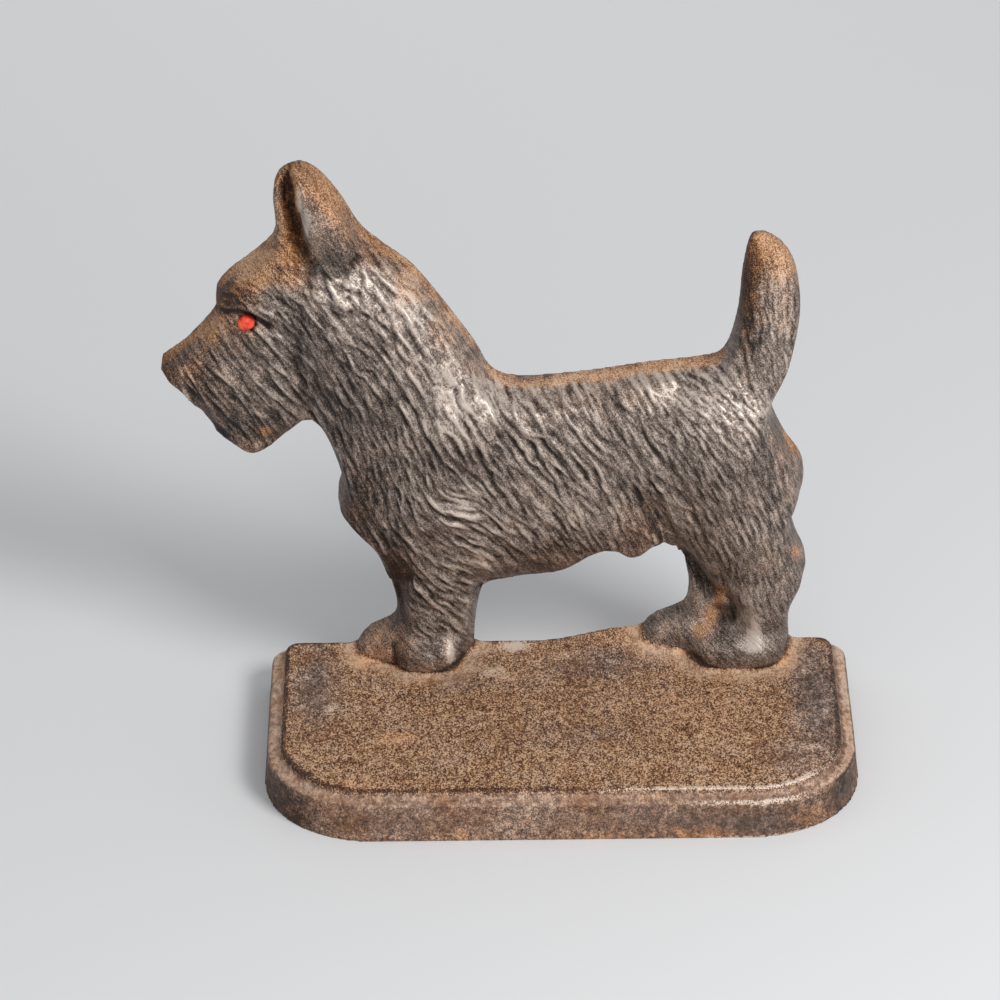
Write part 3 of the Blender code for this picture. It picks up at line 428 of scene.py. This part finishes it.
# Smudges of patina, painted shade and painted highlight: middle (x, w), reach across and up, and what they add to
# darkness, rust and burnish with painted highlight
SMUDGES = [
    ((-91, 153.5), (8, 4), 0.65, 0.5, 0),  # speckled dark tuft of the brow
    ((-82, 162), (9, 8), -0.3, 0.3, 0),
    ((-100, 143), (6, 6), -0.15, 0.2, 0),
    ((-85, 136), (6, 4), 0.2, 0, 0),
    ((-93, 130), (5, 4), -0.15, 0, 0),
    ((-101, 128), (6, 12), 0.2, 0.1, 0),
    ((-97, 117), (10, 8), 0.15, 0.1, 0),
    ((-113.5, 129), (4, 6), 0.5, 0.3, 0),
    ((-92, 110), (13, 5), 0.3, 0, 0),
    ((-79, 115), (11, 9), 0.12, 0, 0),
    ((-62, 137), (8, 12), 0.12, 0, 0),
    ((-44, 136), (8, 7), 0.2, 0, 0),  # painted shade in the hollow of the neck
    ((-41, 115), (9, 8), 0.25, 0, 0),
    ((-57, 112), (7, 14), 0.25, 0, 0),  # shaded throat
    ((-61, 156), (5, 4), 0.2, 0, 0),
    ((-33, 154), (5, 8), -0.4, 0, 0.1),
    ((-20, 142), (4, 7), -0.25, 0, 0.1),
    ((-13, 119), (10, 7), -0.2, 0, 0.35),  # rubbed point of the shoulder, with a painted highlight
    ((-18, 109), (7, 3), -0.15, 0, 0.35),
    ((3, 116), (9, 5), -0.1, 0, 0.2),
    ((-15, 99), (11, 5), 0.28, 0, 0),
    ((-27, 104), (6, 4), 0.15, 0, 0),
    ((-45, 94), (6, 6), 0.25, 0, 0),
    ((-55, 186), (9, 10), -0.05, 0.3, 0),
    ((-54, 167), (6, 5), 0.35, 0, 0),
    ((-52, 156), (8, 7), -0.12, 0, 0.1),
    ((-69.5, 178), (3, 14), 0.2, 0.9, -0.3),  # rusty recess of the ear, darkened a little as painted shade
    ((-67.3, 183), (1.6, 4.5), -0.5, -0.5, 0.9),  # painted highlight on the ear's front edge, which is rubbed glossy too
    ((-65.2, 176), (1.6, 4.5), -0.5, -0.5, 0.9),
    ((-80.5, 110), (2.5, 2), -0.25, 0.9, 0.3),
    ((-51, 82), (6, 14), 0.4, 0.2, 0),
    ((-38.5, 60), (5, 14), 0.65, 0.1, 0),
    ((-13, 83), (6, 4), -0.2, 0, 0.3),  # curls over the elbow
    ((-8.5, 66.5), (3, 4), -0.35, 0.2, 0.3),
    ((-44, 38), (7, 7), -0.22, 0.15, 0.1),
    ((-37.5, 33), (2.5, 6), 0.2, 0.1, 0),
    ((-20.5, 35.5), (1.1, 4), -0.75, -0.1, 1.0),  # painted highlights on the rubbed toes
    ((81.4, 39), (2.2, 4.6), -0.8, -0.1, 1.0),
    ((78, 36), (4, 3), -0.2, 0, 0.2),
    ((70, 38), (5, 8), 0.15, 0.1, 0),
    ((64, 48), (4, 8), -0.35, 0, 0.1),
    ((79, 50), (5, 8), -0.25, 0, 0.1),
    ((55, 43), (5, 4), -0.15, 0.1, 0.1),
    ((70.2, 53), (2, 4), -0.35, 1.1, 0),  # rust in the crook of the hock
    ((67.6, 46.5), (2.4, 3.5), -0.35, 1.1, 0),
    ((63.6, 41.5), (2.5, 3), -0.3, 1, 0),
    ((95, 68), (2.5, 2.5), -0.2, 0.7, 0),
    ((36, 116.5), (3, 4), 0.25, 0, 0),
    ((20, 123), (9, 4), -0.15, 0, 0.1),
    ((48, 122), (8, 5), -0.15, 0, 0.15),
    ((59, 117), (6, 5), -0.2, 0, 0.1),
    ((43, 75), (5, 5), 0.1, 0.15, 0),
    ((-86, 144), (5, 3.5), -0.1, 0.4, 0),
    ((14, 68), (20, 3.5), 0.1, 0.1, 0),
    ((20, 80), (24, 7), -0.2, 0, 0),
    ((92, 104), (4, 9), 0, 0.15, 0),
    ((77.8, 156), (3, 24), 0.8, 0.5, 0),  # shaded flank of the tail
    ((85, 168), (7, 10), -0.12, 0.2, 0),
    ((89, 152), (4, 18), -0.2, 0.1, 0.1),
    ((34, 128), (46, 5), -0.15, 0, 0),
]

dog = merged_copy("dog_casting", "terrier")
modify(dog, "REMESH", mode="VOXEL", voxel_size=DOG_GRID)
co = points_of(dog)
for _ in range(SMOOTHED):
    co += SMOOTHED_BY * (softened(dog, co, 1) - co)
    co -= GIVEN_BACK * (softened(dog, co, 1) - co)
move_points(dog, co)
hidden = (normals_of(dog)[:, 1] > 0.25) | (points_of(dog)[:, 1] > (BACK_FACE - BACK_BAND) * MM)
for part in (dog.data.polygons, dog.data.edges):
    part.foreach_set("select", np.zeros(len(part), bool))
dog.data.vertices.foreach_set("select", hidden)
select_only(dog)
bpy.ops.object.mode_set(mode="EDIT")
bpy.ops.mesh.decimate(ratio=BACK_KEPT)
bpy.ops.object.mode_set(mode="OBJECT")

# The lie of the coat, looked up on a 1 mm grid that blends the notes above by nearness
NOTE_SPREAD = 8  # mm squared: as near as that to its place, a note holds almost alone
notes_at = np.array([row[1:3] for row in COAT], float)
notes = np.array([row[3:] for row in COAT], float)
LIE, HEIGHT, BURNISH_AND_HIGHLIGHT, RUST = 0, 3, 5, 6  # columns of the notes
gx, gw = np.meshgrid(np.arange(FUR_LOW[0], FUR_HIGH[0] + 1), np.arange(FUR_LOW[1], FUR_HIGH[1] + 1), indexing="ij")
apart = (gx[..., None] - notes_at[:, 0]) ** 2 + (gw[..., None] - notes_at[:, 1]) ** 2
share = 1 / (apart + NOTE_SPREAD) ** 2
coat_map = (share @ notes) / share.sum(-1)[..., None]


def coat_at(place):
    i, k = np.round(place - FUR_LOW).astype(int).T
    return coat_map[np.clip(i, 0, coat_map.shape[0] - 1), np.clip(k, 0, coat_map.shape[1] - 1)]


def counted_along(east, north):
    """A number that grows by one for each millimetre along the given headings, as nearly as one number can."""
    east = np.block([[east, east[:, ::-1]], [-east[::-1], -east[::-1, ::-1]]])
    north = np.block([[north, -north[:, ::-1]], [north[::-1], -north[::-1, ::-1]]])
    kx, kw = (2 * math.pi * np.fft.fftfreq(n) for n in east.shape)
    steep = kx[:, None] ** 2 + kw ** 2
    steep[0, 0] = 1
    found = np.fft.ifft2(-1j * (kx[:, None] * np.fft.fft2(east) + kw * np.fft.fft2(north)) / steep).real
    return found[:coat_map.shape[0], :coat_map.shape[1]]


heading = np.radians(coat_map[..., LIE])
along_hair = counted_along(np.cos(heading), -np.sin(heading))
across_hair = counted_along(np.sin(heading), np.cos(heading))

# Each lock is drawn in short steps along the hair, from its pointed root to its pointed tip
SEED = 11
LOCK_TRIES = 42000
LOCK_STEPS = 8
LOCK_ROOM = (0.42, 0.85)  # shares of a lock's length and width that it keeps free of other roots
CREST_AT = 0.5  # where a lock's crest lies, from its middle at 0 to its lower edge at 1
chance = np.random.default_rng(SEED)
fur_shape = tuple(((FUR_HIGH - FUR_LOW) / FUR_PITCH).astype(int))
fur = np.zeros(fur_shape)


def lay_lock(path, width, height):
    """Lays one lock along its path: pointed at both ends, and steep below its crest."""
    low = np.maximum(((path.min(0) - width - FUR_LOW) / FUR_PITCH).astype(int), 0)
    high = np.minimum(((path.max(0) + width - FUR_LOW) / FUR_PITCH).astype(int) + 1, fur_shape)
    if (high <= low).any():
        return
    x = FUR_LOW[0] + np.arange(low[0], high[0]) * FUR_PITCH
    w = FUR_LOW[1] + np.arange(low[1], high[1]) * FUR_PITCH
    best = np.full((len(x), len(w)), np.inf)
    along = np.zeros_like(best)
    across = np.zeros_like(best)
    steps = len(path) - 1
    for k in range(steps):
        run = path[k + 1] - path[k]
        dx, dw = (x - path[k][0])[:, None], (w - path[k][1])[None, :]
        t = np.clip((dx * run[0] + dw * run[1]) / (run @ run), 0, 1)
        off = np.hypot(dx - t * run[0], dw - t * run[1])
        closer = off < best
        best = np.where(closer, off, best)
        along = np.where(closer, (k + t) / steps, along)
        across = np.where(closer, (dx * run[1] - dw * run[0]) / math.hypot(*run), across)
    bulge = np.sin(math.pi * np.clip(along, 0.03, 0.97))
    half = width / 2 * (0.15 + 0.85 * bulge ** 0.8)
    side = across / half
    fall = np.where(side > CREST_AT, (side - CREST_AT) / (1 - CREST_AT), (CREST_AT - side) / (1 + CREST_AT))
    ridge = np.where(best < half, 1 - np.clip(fall, 0, 1) ** 1.3, 0)
    window = fur[low[0]:high[0], low[1]:high[1]]
    np.maximum(window, height * bulge ** 0.4 * ridge, out=window)


# Roots are scattered so that no two locks start in the same place: each keeps others out of an oval round it
roots = np.zeros((0, 2))
for root in chance.uniform(FUR_LOW, FUR_HIGH, (LOCK_TRIES, 2)):
    lie, width, length, height, curl, *_ = coat_at(root)
    heading = np.array([math.cos(math.radians(lie)), -math.sin(math.radians(lie))])
    gap = roots - root
    along = (gap @ heading) / (LOCK_ROOM[0] * length)
    across = (gap[:, 0] * heading[1] - gap[:, 1] * heading[0]) / (LOCK_ROOM[1] * width)
    room = chance.uniform(0.6, 1.35)
    if (along ** 2 + across ** 2 < room).any():
        continue
    roots = np.vstack([roots, root])
    length *= chance.uniform(0.75, 1.45)
    swing = chance.normal(0, 6 + 24 * curl)
    wave = chance.uniform(5, 14) * (1 + 1.5 * curl)
    phase = chance.uniform(0, 2 * math.pi)
    path = [root - heading * length * 0.45]
    for s in range(LOCK_STEPS):
        angle = -math.radians(coat_at(path[-1])[LIE] + swing * (s / 4 - 0.6) + wave * math.sin(phase + s * 0.9))
        path.append(path[-1] + length / LOCK_STEPS * np.array([math.cos(angle), math.sin(angle)]))
    lay_lock(np.array(path), width * chance.uniform(0.9, 1.8), height * chance.uniform(0.55, 1.4))


def blurred(grid, rounds):
    for _ in range(rounds):
        for axis in (0, 1):
            grid = 0.25 * np.roll(grid, 1, axis) + 0.5 * grid + 0.25 * np.roll(grid, -1, axis)
    return grid


def read(grid, place, pitch):
    """A grid's value at each (x, w), read between its points."""
    spot = np.clip((place - FUR_LOW) / pitch, 0, np.array(grid.shape) - 1.001)
    i, k = spot.astype(int).T
    u, v = (spot - spot.astype(int)).T
    return ((grid[i, k] * (1 - u) + grid[i + 1, k] * u) * (1 - v)
            + (grid[i, k + 1] * (1 - u) + grid[i + 1, k + 1] * u) * v)


def from_line(place, points):
    """How far each (x, w) lies from a line of joined points, in millimetres."""
    nearest = np.full(len(place), np.inf)
    for a, b in zip(np.array(points[:-1]), np.array(points[1:])):
        t = np.clip((place - a) @ (b - a) / ((b - a) @ (b - a)), 0, 1)[:, None]
        nearest = np.minimum(nearest, np.linalg.norm(place - a - t * (b - a), axis=1))
    return nearest


def inside(place, outline):
    """1 for each (x, w) within the closed outline, 0 outside it."""
    crossings = np.zeros(len(place), int)
    for (ax, aw), (bx, bw) in zip(outline, outline[1:] + outline[:1]):
        between = (aw > place[:, 1]) != (bw > place[:, 1])
        crossings += between & (place[:, 0] < ax + (place[:, 1] - aw) * (bx - ax) / (bw - aw + 1e-9))
    return (crossings % 2).astype(float)


def streaks(thickness, reach):
    """Random streaks that run with the hair, about so thick and twice so long as the reach (mm)."""
    noise = blurred(chance.normal(size=fur_shape), round((thickness / FUR_PITCH) ** 2))
    spread = noise.copy()
    for step in (0.5, -0.5):
        at = sheet_points.copy()
        for _ in range(round(reach / 0.5)):
            angle = np.radians(coat_at(at)[:, LIE])
            at += step * np.stack([np.cos(angle), -np.sin(angle)], 1)
            i, k = np.clip(((at - FUR_LOW) / FUR_PITCH).astype(int), 0, np.array(fur_shape) - 1).T
            spread += noise[i, k].reshape(fur_shape)
    return spread / spread.std()


sheet_points = np.stack(np.meshgrid(*(low + np.arange(n) * FUR_PITCH for low, n in zip(FUR_LOW, fur_shape)),
                                    indexing="ij"), -1).reshape(-1, 2)
deep = coat_at(sheet_points)[:, HEIGHT].reshape(fur_shape)
fur = blurred(fur, 1) + deep * (0.13 * streaks(0.7, 5) + 0.09 * streaks(0.3, 3.5))
fur_edge = fur - blurred(fur, 24)

# The coat goes on where the dog faces the viewer: not on the flat top edges, the soles or the ear's round back
co = points_of(dog)
facing = normals_of(dog)
sheet = np.stack([co[:, 0], SIN_LEAN * co[:, 1] + COS_LEAN * co[:, 2]], 1) / MM
height, burnish_and_highlight, rust = coat_at(sheet)[:, (HEIGHT, BURNISH_AND_HIGHLIGHT, RUST)].T
relief = BACK_FACE - co[:, 1] / MM
upward = ramp(facing[:, 2], 0.1, 0.6)
front = ramp(-facing[:, 1], -0.6, 0.0)
behind = ramp(facing[:, 1], 0.02, 0.15)
lobe = inside(sheet, EAR_LOBE) * ramp(relief, 2, 4)
furry = ramp(relief, 2.0 + 3.0 * upward, 5.5 + 4.5 * upward) * ramp(-facing[:, 1], -0.2, 0.2)
furry *= (1 - softened(dog, lobe, 6)) * ramp(facing[:, 2], -0.75, -0.2) * (1 - ramp(abs(facing[:, 0]), 0.7, 0.97))
lift = (read(fur, sheet, FUR_PITCH) - 0.5 * height) * furry
dark = np.zeros(len(co))
# Each line is cut to its depth and painted darker along it as shade; a darkness below 0 paints a highlight instead
for _, points, cut_width, depth, darkness in CUTS:
    close = np.exp(-(from_line(sheet, points) / (cut_width / 2)) ** 2) * front
    lift -= depth * close
    dark = np.maximum(dark, darkness * close)
co += facing * (lift * MM)[:, None]
move_points(dog, co)
dog.data.shade_smooth()

# What the patina and the painted light do where: how far each hair stands out, how burnished and highlit, how
# rusty, and how dark the iron is from patina and painted shade
carved = np.clip(height / 0.9, 0, 1) ** 0.6 * furry
crest = 0.5 + (0.52 + 0.05 * burnish_and_highlight) * read(fur_edge, sheet, FUR_PITCH) / np.maximum(0.5 * height, 0.15) * carved
top_edge = ramp(facing[:, 2], 0.25, 0.7) * (1 - ramp(relief, 5, 13)) * ramp(co[:, 2] / MM, 60, 95) * (1 - behind)
rust = np.maximum(rust, top_edge * 1.1)
for middle, reach, add_dark, add_rust, add_burnish_and_highlight in SMUDGES:
    cover = np.exp(-(((sheet - np.array(middle)) / np.array(reach)) ** 2).sum(1)) * front
    dark += add_dark * cover
    rust += add_rust * cover
    burnish_and_highlight += add_burnish_and_highlight * cover
# Darker where the surface is sunk: patina in the hollows, and painted shade
sunk = ramp(-proud(dog, 16), 0.15, 0.9)
paint(dog, "crest", np.clip(crest, 0, 1.3) * (1 - 0.15 * behind))
paint(dog, "burnish_and_highlight", np.clip(burnish_and_highlight, 0, 1) * (1 - 0.8 * behind))
paint(dog, "rust", np.clip(rust, 0, 1) * (1 - behind) + 0.35 * behind)
paint(dog, "hollow", np.clip(dark + 0.3 * sunk, -0.5, 1))
hair_run = np.stack([read(along_hair, sheet, 1.0), read(across_hair, sheet, 1.0), np.zeros(len(co))], 1)
# The bare back has no hair: there the same pattern makes an even grit
even_grit = np.stack([3 * co[:, 0], 0.53 * co[:, 2], 0.67 * co[:, 1]], 1) / MM
hair_run = np.where(behind[:, None] > 0.5, even_grit, hair_run)
layer = dog.data.attributes.new("hair", "FLOAT_VECTOR", "POINT")
layer.data.foreach_set("vector", hair_run.astype(np.float32).ravel())
modify(dog, "DECIMATE", ratio=DOG_KEPT)

# Grey iron under a dark wax-and-rust patina, handled for years: black-brown in the grooves, gunmetal on the hair,
# burnished and painted with highlights on neck, shoulder, rump and paws, painted shade in the creases, and brown
# rust on the bare top edges.
FINE_GRAIN = 0.45  # mm, the sand that the dog was cast in, drawn a little coarse so that it shows
COARSE_GRAIN = 1.8  # mm
PATINA_CLOUD = 7  # mm
HAIR_LONG, HAIR_THICK = 4.5, 0.8  # mm, single hairs within a lock
WRINKLE = 2.2  # mm
dog_iron = bpy.data.materials.new("handled cast iron, dark patina")
dog_iron.use_nodes = True
shader = dog_iron.node_tree.nodes["Principled BSDF"]
place = add(dog_iron, "TexCoord", {}).outputs["Object"]
run = add(dog_iron, "Attribute", {}, attribute_name="hair").outputs["Vector"]
crest, burnish_and_highlight, rust, hollow = (add(dog_iron, "Attribute", {}, attribute_name=name).outputs["Fac"]
                              for name in ("crest", "burnish_and_highlight", "rust", "hollow"))
grain = add(dog_iron, "TexNoise", {"Vector": place, "Scale": 1000 / FINE_GRAIN, "Detail": 1.5, "Roughness": 0.6})
grit = add(dog_iron, "TexNoise", {"Vector": place, "Scale": 1000 / COARSE_GRAIN, "Detail": 2.0, "Roughness": 0.7})
cloud = add(dog_iron, "TexNoise", {"Vector": place, "Scale": 1000 / PATINA_CLOUD, "Detail": 4.0})
strand = (1 / HAIR_LONG, 1 / HAIR_THICK, 1)
strand = add(dog_iron, "VectorMath", {0: run, 1: strand}, operation="MULTIPLY").outputs[0]
strand = add(dog_iron, "TexNoise", {"Vector": strand, "Scale": 1.0, "Detail": 2.0, "Distortion": 0.4})
wrinkle = add(dog_iron, "TexNoise", {"Vector": place, "Scale": 1000 / WRINKLE, "Detail": 2.0, "Distortion": 0.6})
grain, grit, cloud, strand, wrinkle = (noise.outputs["Fac"] for noise in (grain, grit, cloud, strand, wrinkle))
speck, clump, drift, hairs = (
    add(dog_iron, "MapRange", {0: noise, 1: low, 2: high, 3: -0.5, 4: 0.5}).outputs[0]
    for noise, low, high in ((grain, 0.36, 0.64), (grit, 0.3, 0.7), (cloud, 0.3, 0.7), (strand, 0.3, 0.7)))
# Thin lines, where a noise crosses its middle: wires of hair, and wrinkles on the rubbed, highlit metal
lines = []
for noise, middle, thickness, ground in ((strand, 0.52, 0.05, -0.2), (wrinkle, 0.5, 0.06, -0.3)):
    off = add(dog_iron, "Math", {0: noise, 1: middle}, operation="SUBTRACT").outputs[0]
    off = add(dog_iron, "Math", {0: off}, operation="ABSOLUTE").outputs[0]
    lines.append(add(dog_iron, "MapRange", {0: off, 1: 0.0, 2: thickness, 3: 1, 4: ground}).outputs[0])
wires, wrinkles = lines
rubbed_and_highlit = add(dog_iron, "MapRange", {0: burnish_and_highlight, 1: 0.45, 2: 0.95}).outputs[0]
creases = add(dog_iron, "Math", {0: wrinkles, 1: rubbed_and_highlit}, operation="MULTIPLY").outputs[0]
grainy = add(dog_iron, "Math", {0: speck, 1: rust}, operation="MULTIPLY").outputs[0]
# How strongly speck, hairs, wires and the bump of the grain show: less on rubbed, highlit metal than on the patina
speck_share, hair_share, wire_share, grain_bump = (
    add(dog_iron, "MapRange", {0: rubbed_and_highlit, 3: on_patina, 4: on_metal}).outputs[0]
    for on_patina, on_metal in ((0.37, 0.2), (0.22, 0.1), (0.16, 0.08), (0.8, 0.25)))
# The tone: burnished and highlit places are painted lighter, and the hollow map darkens, as patina and painted
# shade
tone = crest
for part, share in ((speck, speck_share), (grainy, 0.3), (hairs, hair_share), (wires, wire_share), (creases, 0.24),
                    (clump, 0.18), (drift, 0.3), (burnish_and_highlight, 0.3), (hollow, -0.8)):
    tone = add(dog_iron, "Math", {0: part, 1: share, 2: tone}, operation="MULTIPLY_ADD").outputs[0]
tone = add(dog_iron, "Math", {0: tone, 1: -0.13}, operation="ADD").outputs[0]
patch = rust
for part, share in ((drift, 0.35), (speck, 0.15), (clump, 0.2)):
    patch = add(dog_iron, "Math", {0: part, 1: share, 2: patch}, operation="MULTIPLY_ADD").outputs[0]
patch = add(dog_iron, "MapRange", {0: patch, 1: 0.15, 2: 0.95}).outputs[0]
shades = []
for stops in (((0.0, "#221a16"), (0.3, "#524740"), (0.62, "#8b7c72"), (1.0, "#c4b7ac")),
              ((0.0, "#281c15"), (0.3, "#5f483a"), (0.62, "#977966"), (1.0, "#ccb09b")),
              ((0.0, "#301b0d"), (0.3, "#794c2c"), (0.62, "#ae7b4d"), (1.0, "#ddae84"))):
    shade = add(dog_iron, "ValToRGB", {0: tone})
    while len(shade.color_ramp.elements) < len(stops):
        shade.color_ramp.elements.new(0.5)
    for element, (position, colour) in zip(shade.color_ramp.elements, stops):
        element.position, element.color = position, linear(colour)
    shades.append(shade.outputs[0])
grey, brown, ochre = shades
browned = add(dog_iron, "MapRange", {0: patch, 1: 0.0, 2: 0.5}).outputs[0]
ochred = add(dog_iron, "MapRange", {0: patch, 1: 0.45, 2: 1.0}).outputs[0]
skin = add(dog_iron, "Mix", {0: browned, 6: grey, 7: brown}, data_type="RGBA").outputs[2]
skin = add(dog_iron, "Mix", {0: ochred, 6: skin, 7: ochre}, data_type="RGBA").outputs[2]
# Painted highlight: where the tone runs high, burnished places turn pale and glossier
high = add(dog_iron, "MapRange", {0: tone, 1: 0.6, 2: 1.2}).outputs[0]
bright = add(dog_iron, "Math", {0: high, 1: burnish_and_highlight}, operation="MULTIPLY").outputs[0]
skin = add(dog_iron, "Mix", {0: bright, 6: skin, 7: linear("#d3c4b7")}, data_type="RGBA").outputs[2]
metal = add(dog_iron, "MapRange", {0: patch, 3: 0.5, 4: 0.1}).outputs[0]
gloss = add(dog_iron, "MapRange", {0: bright, 3: 0.55, 4: 0.39}).outputs[0]
gloss = add(dog_iron, "Mix", {0: patch, 2: gloss, 3: 0.7}).outputs[0]
bump = add(dog_iron, "Bump", {"Strength": grain_bump, "Distance": 0.16 * MM, "Height": grain}).outputs[0]
bump = add(dog_iron, "Bump", {"Strength": 0.6, "Distance": 0.3 * MM, "Height": strand, "Normal": bump}).outputs[0]
for socket, value in (("Base Color", skin), ("Metallic", metal), ("Roughness", gloss), ("Normal", bump)):
    dog_iron.node_tree.links.new(value, shader.inputs[socket])
dog.data.materials.append(dog_iron)
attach(dog, "root")
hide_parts("dog_casting")

# Eye. A dab of red enamel set in a shallow seat under the brow, uneven as a brush leaves it, a little flat
# on top, and worn paler in places. The CAD dab is copied and drawn in to an uneven round within its own.
EYE_SIZE = 0.86  # share of the CAD dab's width
# How far the round is out of true: lobes round it, depth as a share of its radius, and where they begin
EYE_LOBES = [(2, 0.035, 0.6), (3, 0.03, 2.0), (7, 0.015, 0.0)]
EYE_FLAT_TOP = 0.10
eye = merged_copy("eye_enamel", "eye")
modify(eye, "SUBSURF", subdivision_type="SIMPLE", levels=2, render_levels=2)
co = points_of(eye)
middle = (co.min(0) + co.max(0)) / 2
off = co - middle
turn = np.arctan2(off[:, 2], off[:, 0])
uneven = EYE_SIZE
for lobes, depth, start in EYE_LOBES:
    uneven = uneven + depth * np.sin(lobes * turn + start)
uneven -= EYE_FLAT_TOP * np.clip(np.sin(turn), 0, 1)
co[:, 0] = middle[0] + off[:, 0] * uneven
co[:, 2] = middle[2] + off[:, 2] * uneven
move_points(eye, co)
eye.data.shade_smooth()

# Oil enamel, brushed on by hand: a strong red with little gloss left, rubbed to orange in small spots.
ENAMEL_SPOTS = 2.5  # mm
eye_enamel = bpy.data.materials.new("worn red enamel")
eye_enamel.use_nodes = True
shader = eye_enamel.node_tree.nodes["Principled BSDF"]
place = add(eye_enamel, "TexCoord", {}).outputs["Object"]
chips = add(eye_enamel, "TexNoise", {"Vector": place, "Scale": 1000 / ENAMEL_SPOTS, "Detail": 3.0}).outputs["Fac"]
lightened = add(eye_enamel, "MapRange", {0: chips, 1: 0.42, 2: 0.66}).outputs[0]
red = add(eye_enamel, "Mix", {0: lightened, 6: linear("#d41f14"), 7: linear("#ff6a45")}, data_type="RGBA").outputs[2]
bump = add(eye_enamel, "Bump", {"Strength": 0.5, "Distance": 0.2 * MM, "Height": chips}).outputs[0]
eye_enamel.node_tree.links.new(red, shader.inputs["Base Color"])
eye_enamel.node_tree.links.new(bump, shader.inputs["Normal"])
shader.inputs["Roughness"].default_value = 0.6
eye.data.materials.append(eye_enamel)
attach(eye, "root")
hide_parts("eye_enamel")

# Two slotted round-head screws of mild steel, driven up through the plinth's bosses into the feet.
# They were blackened, and have worn back to grey in patches. The CAD nodes stay as they are.
SCUFFS = 2  # mm
screw_steel = bpy.data.materials.new("blackened mild steel")
screw_steel.use_nodes = True
shader = screw_steel.node_tree.nodes["Principled BSDF"]
place = add(screw_steel, "TexCoord", {}).outputs["Object"]
scuff = add(screw_steel, "TexNoise", {"Vector": place, "Scale": 1000 / SCUFFS, "Detail": 3.0}).outputs["Fac"]
steel = add(screw_steel, "Mix", {0: scuff, 6: linear("#2c2927"), 7: linear("#6a6560")}, data_type="RGBA").outputs[2]
gloss = add(screw_steel, "MapRange", {0: scuff, 3: 0.35, 4: 0.6}).outputs[0]
screw_steel.node_tree.links.new(steel, shader.inputs["Base Color"])
screw_steel.node_tree.links.new(gloss, shader.inputs["Roughness"])
shader.inputs["Metallic"].default_value = 1.0
for name in ("front_screw", "rear_screw"):
    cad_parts[name].data.materials.clear()
    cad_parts[name].data.materials.append(screw_steel)

# Studio. A plain pale floor in an even pale surround, with a soft key from the upper right, a broad weak fill
# from the front, and a wide lamp over the floor behind, at a level where colours show as they are.
bpy.ops.object.select_all(action="DESELECT")
bpy.ops.mesh.primitive_plane_add(size=8, location=(0, 1, 0))
floor = bpy.context.object
floor.name = "floor"
bpy.ops.object.transform_apply(location=True, rotation=True, scale=True)
paper = bpy.data.materials.new("pale paper")
paper.use_nodes = True
shader = paper.node_tree.nodes["Principled BSDF"]
shader.inputs["Base Color"].default_value = linear("#dedede")
shader.inputs["Roughness"].default_value = 0.9
floor.data.materials.append(paper)

scene = bpy.context.scene
world = bpy.data.worlds.new("pale surround")
scene.world = world
world.use_nodes = True
world.node_tree.nodes["Background"].inputs["Color"].default_value = linear("#f2f4f7")
world.node_tree.nodes["Background"].inputs["Strength"].default_value = 0.55

AIM = Vector((0, 0, 0.08))
for name, place, size, power in (("key", (0.66, -0.70, 0.92), 0.45, 11.0), ("fill", (0.1, -1.3, 1.0), 0.9, 2.0)):
    lamp = bpy.data.lights.new(name, "AREA")
    lamp.size = size
    lamp.energy = power
    lamp_object = bpy.data.objects.new(name, lamp)
    lamp_object.location = place
    lamp_object.rotation_euler = (AIM - Vector(place)).to_track_quat("-Z", "Y").to_euler()
    scene.collection.objects.link(lamp_object)
backdrop = bpy.data.lights.new("backdrop", "SPOT")
backdrop.energy = 20
backdrop.shadow_soft_size = 0.3
backdrop.spot_size = math.radians(64)
backdrop.spot_blend = 1.0
backdrop_object = bpy.data.objects.new("backdrop", backdrop)
backdrop_object.location = (-0.1, 1.0, 1.5)
scene.collection.objects.link(backdrop_object)

# The camera looks down on the dog as the photo's did. Its focal length is in pixels of a picture 1000 wide.
FOCAL = 5469
LOOKS_DOWN = math.radians(30)
ROLL = math.radians(-0.64)
DISTANCE = 1.8
TARGET = Vector((-0.0034, 0.020, 0.088))
camera = bpy.data.cameras.new("camera")
camera.sensor_width = 36
camera.lens = FOCAL / 1000 * 36
camera.clip_start = 0.01
camera.clip_end = 20
camera_object = bpy.data.objects.new("camera", camera)
scene.collection.objects.link(camera_object)
scene.camera = camera_object
stand = TARGET + Vector((0, -math.cos(LOOKS_DOWN), math.sin(LOOKS_DOWN))) * DISTANCE
camera_object.matrix_world = (Matrix.Translation(stand) @ Matrix.Rotation(math.radians(60), 4, "X")
                              @ Matrix.Rotation(ROLL, 4, "Z"))
scene.view_settings.view_transform = "Standard"
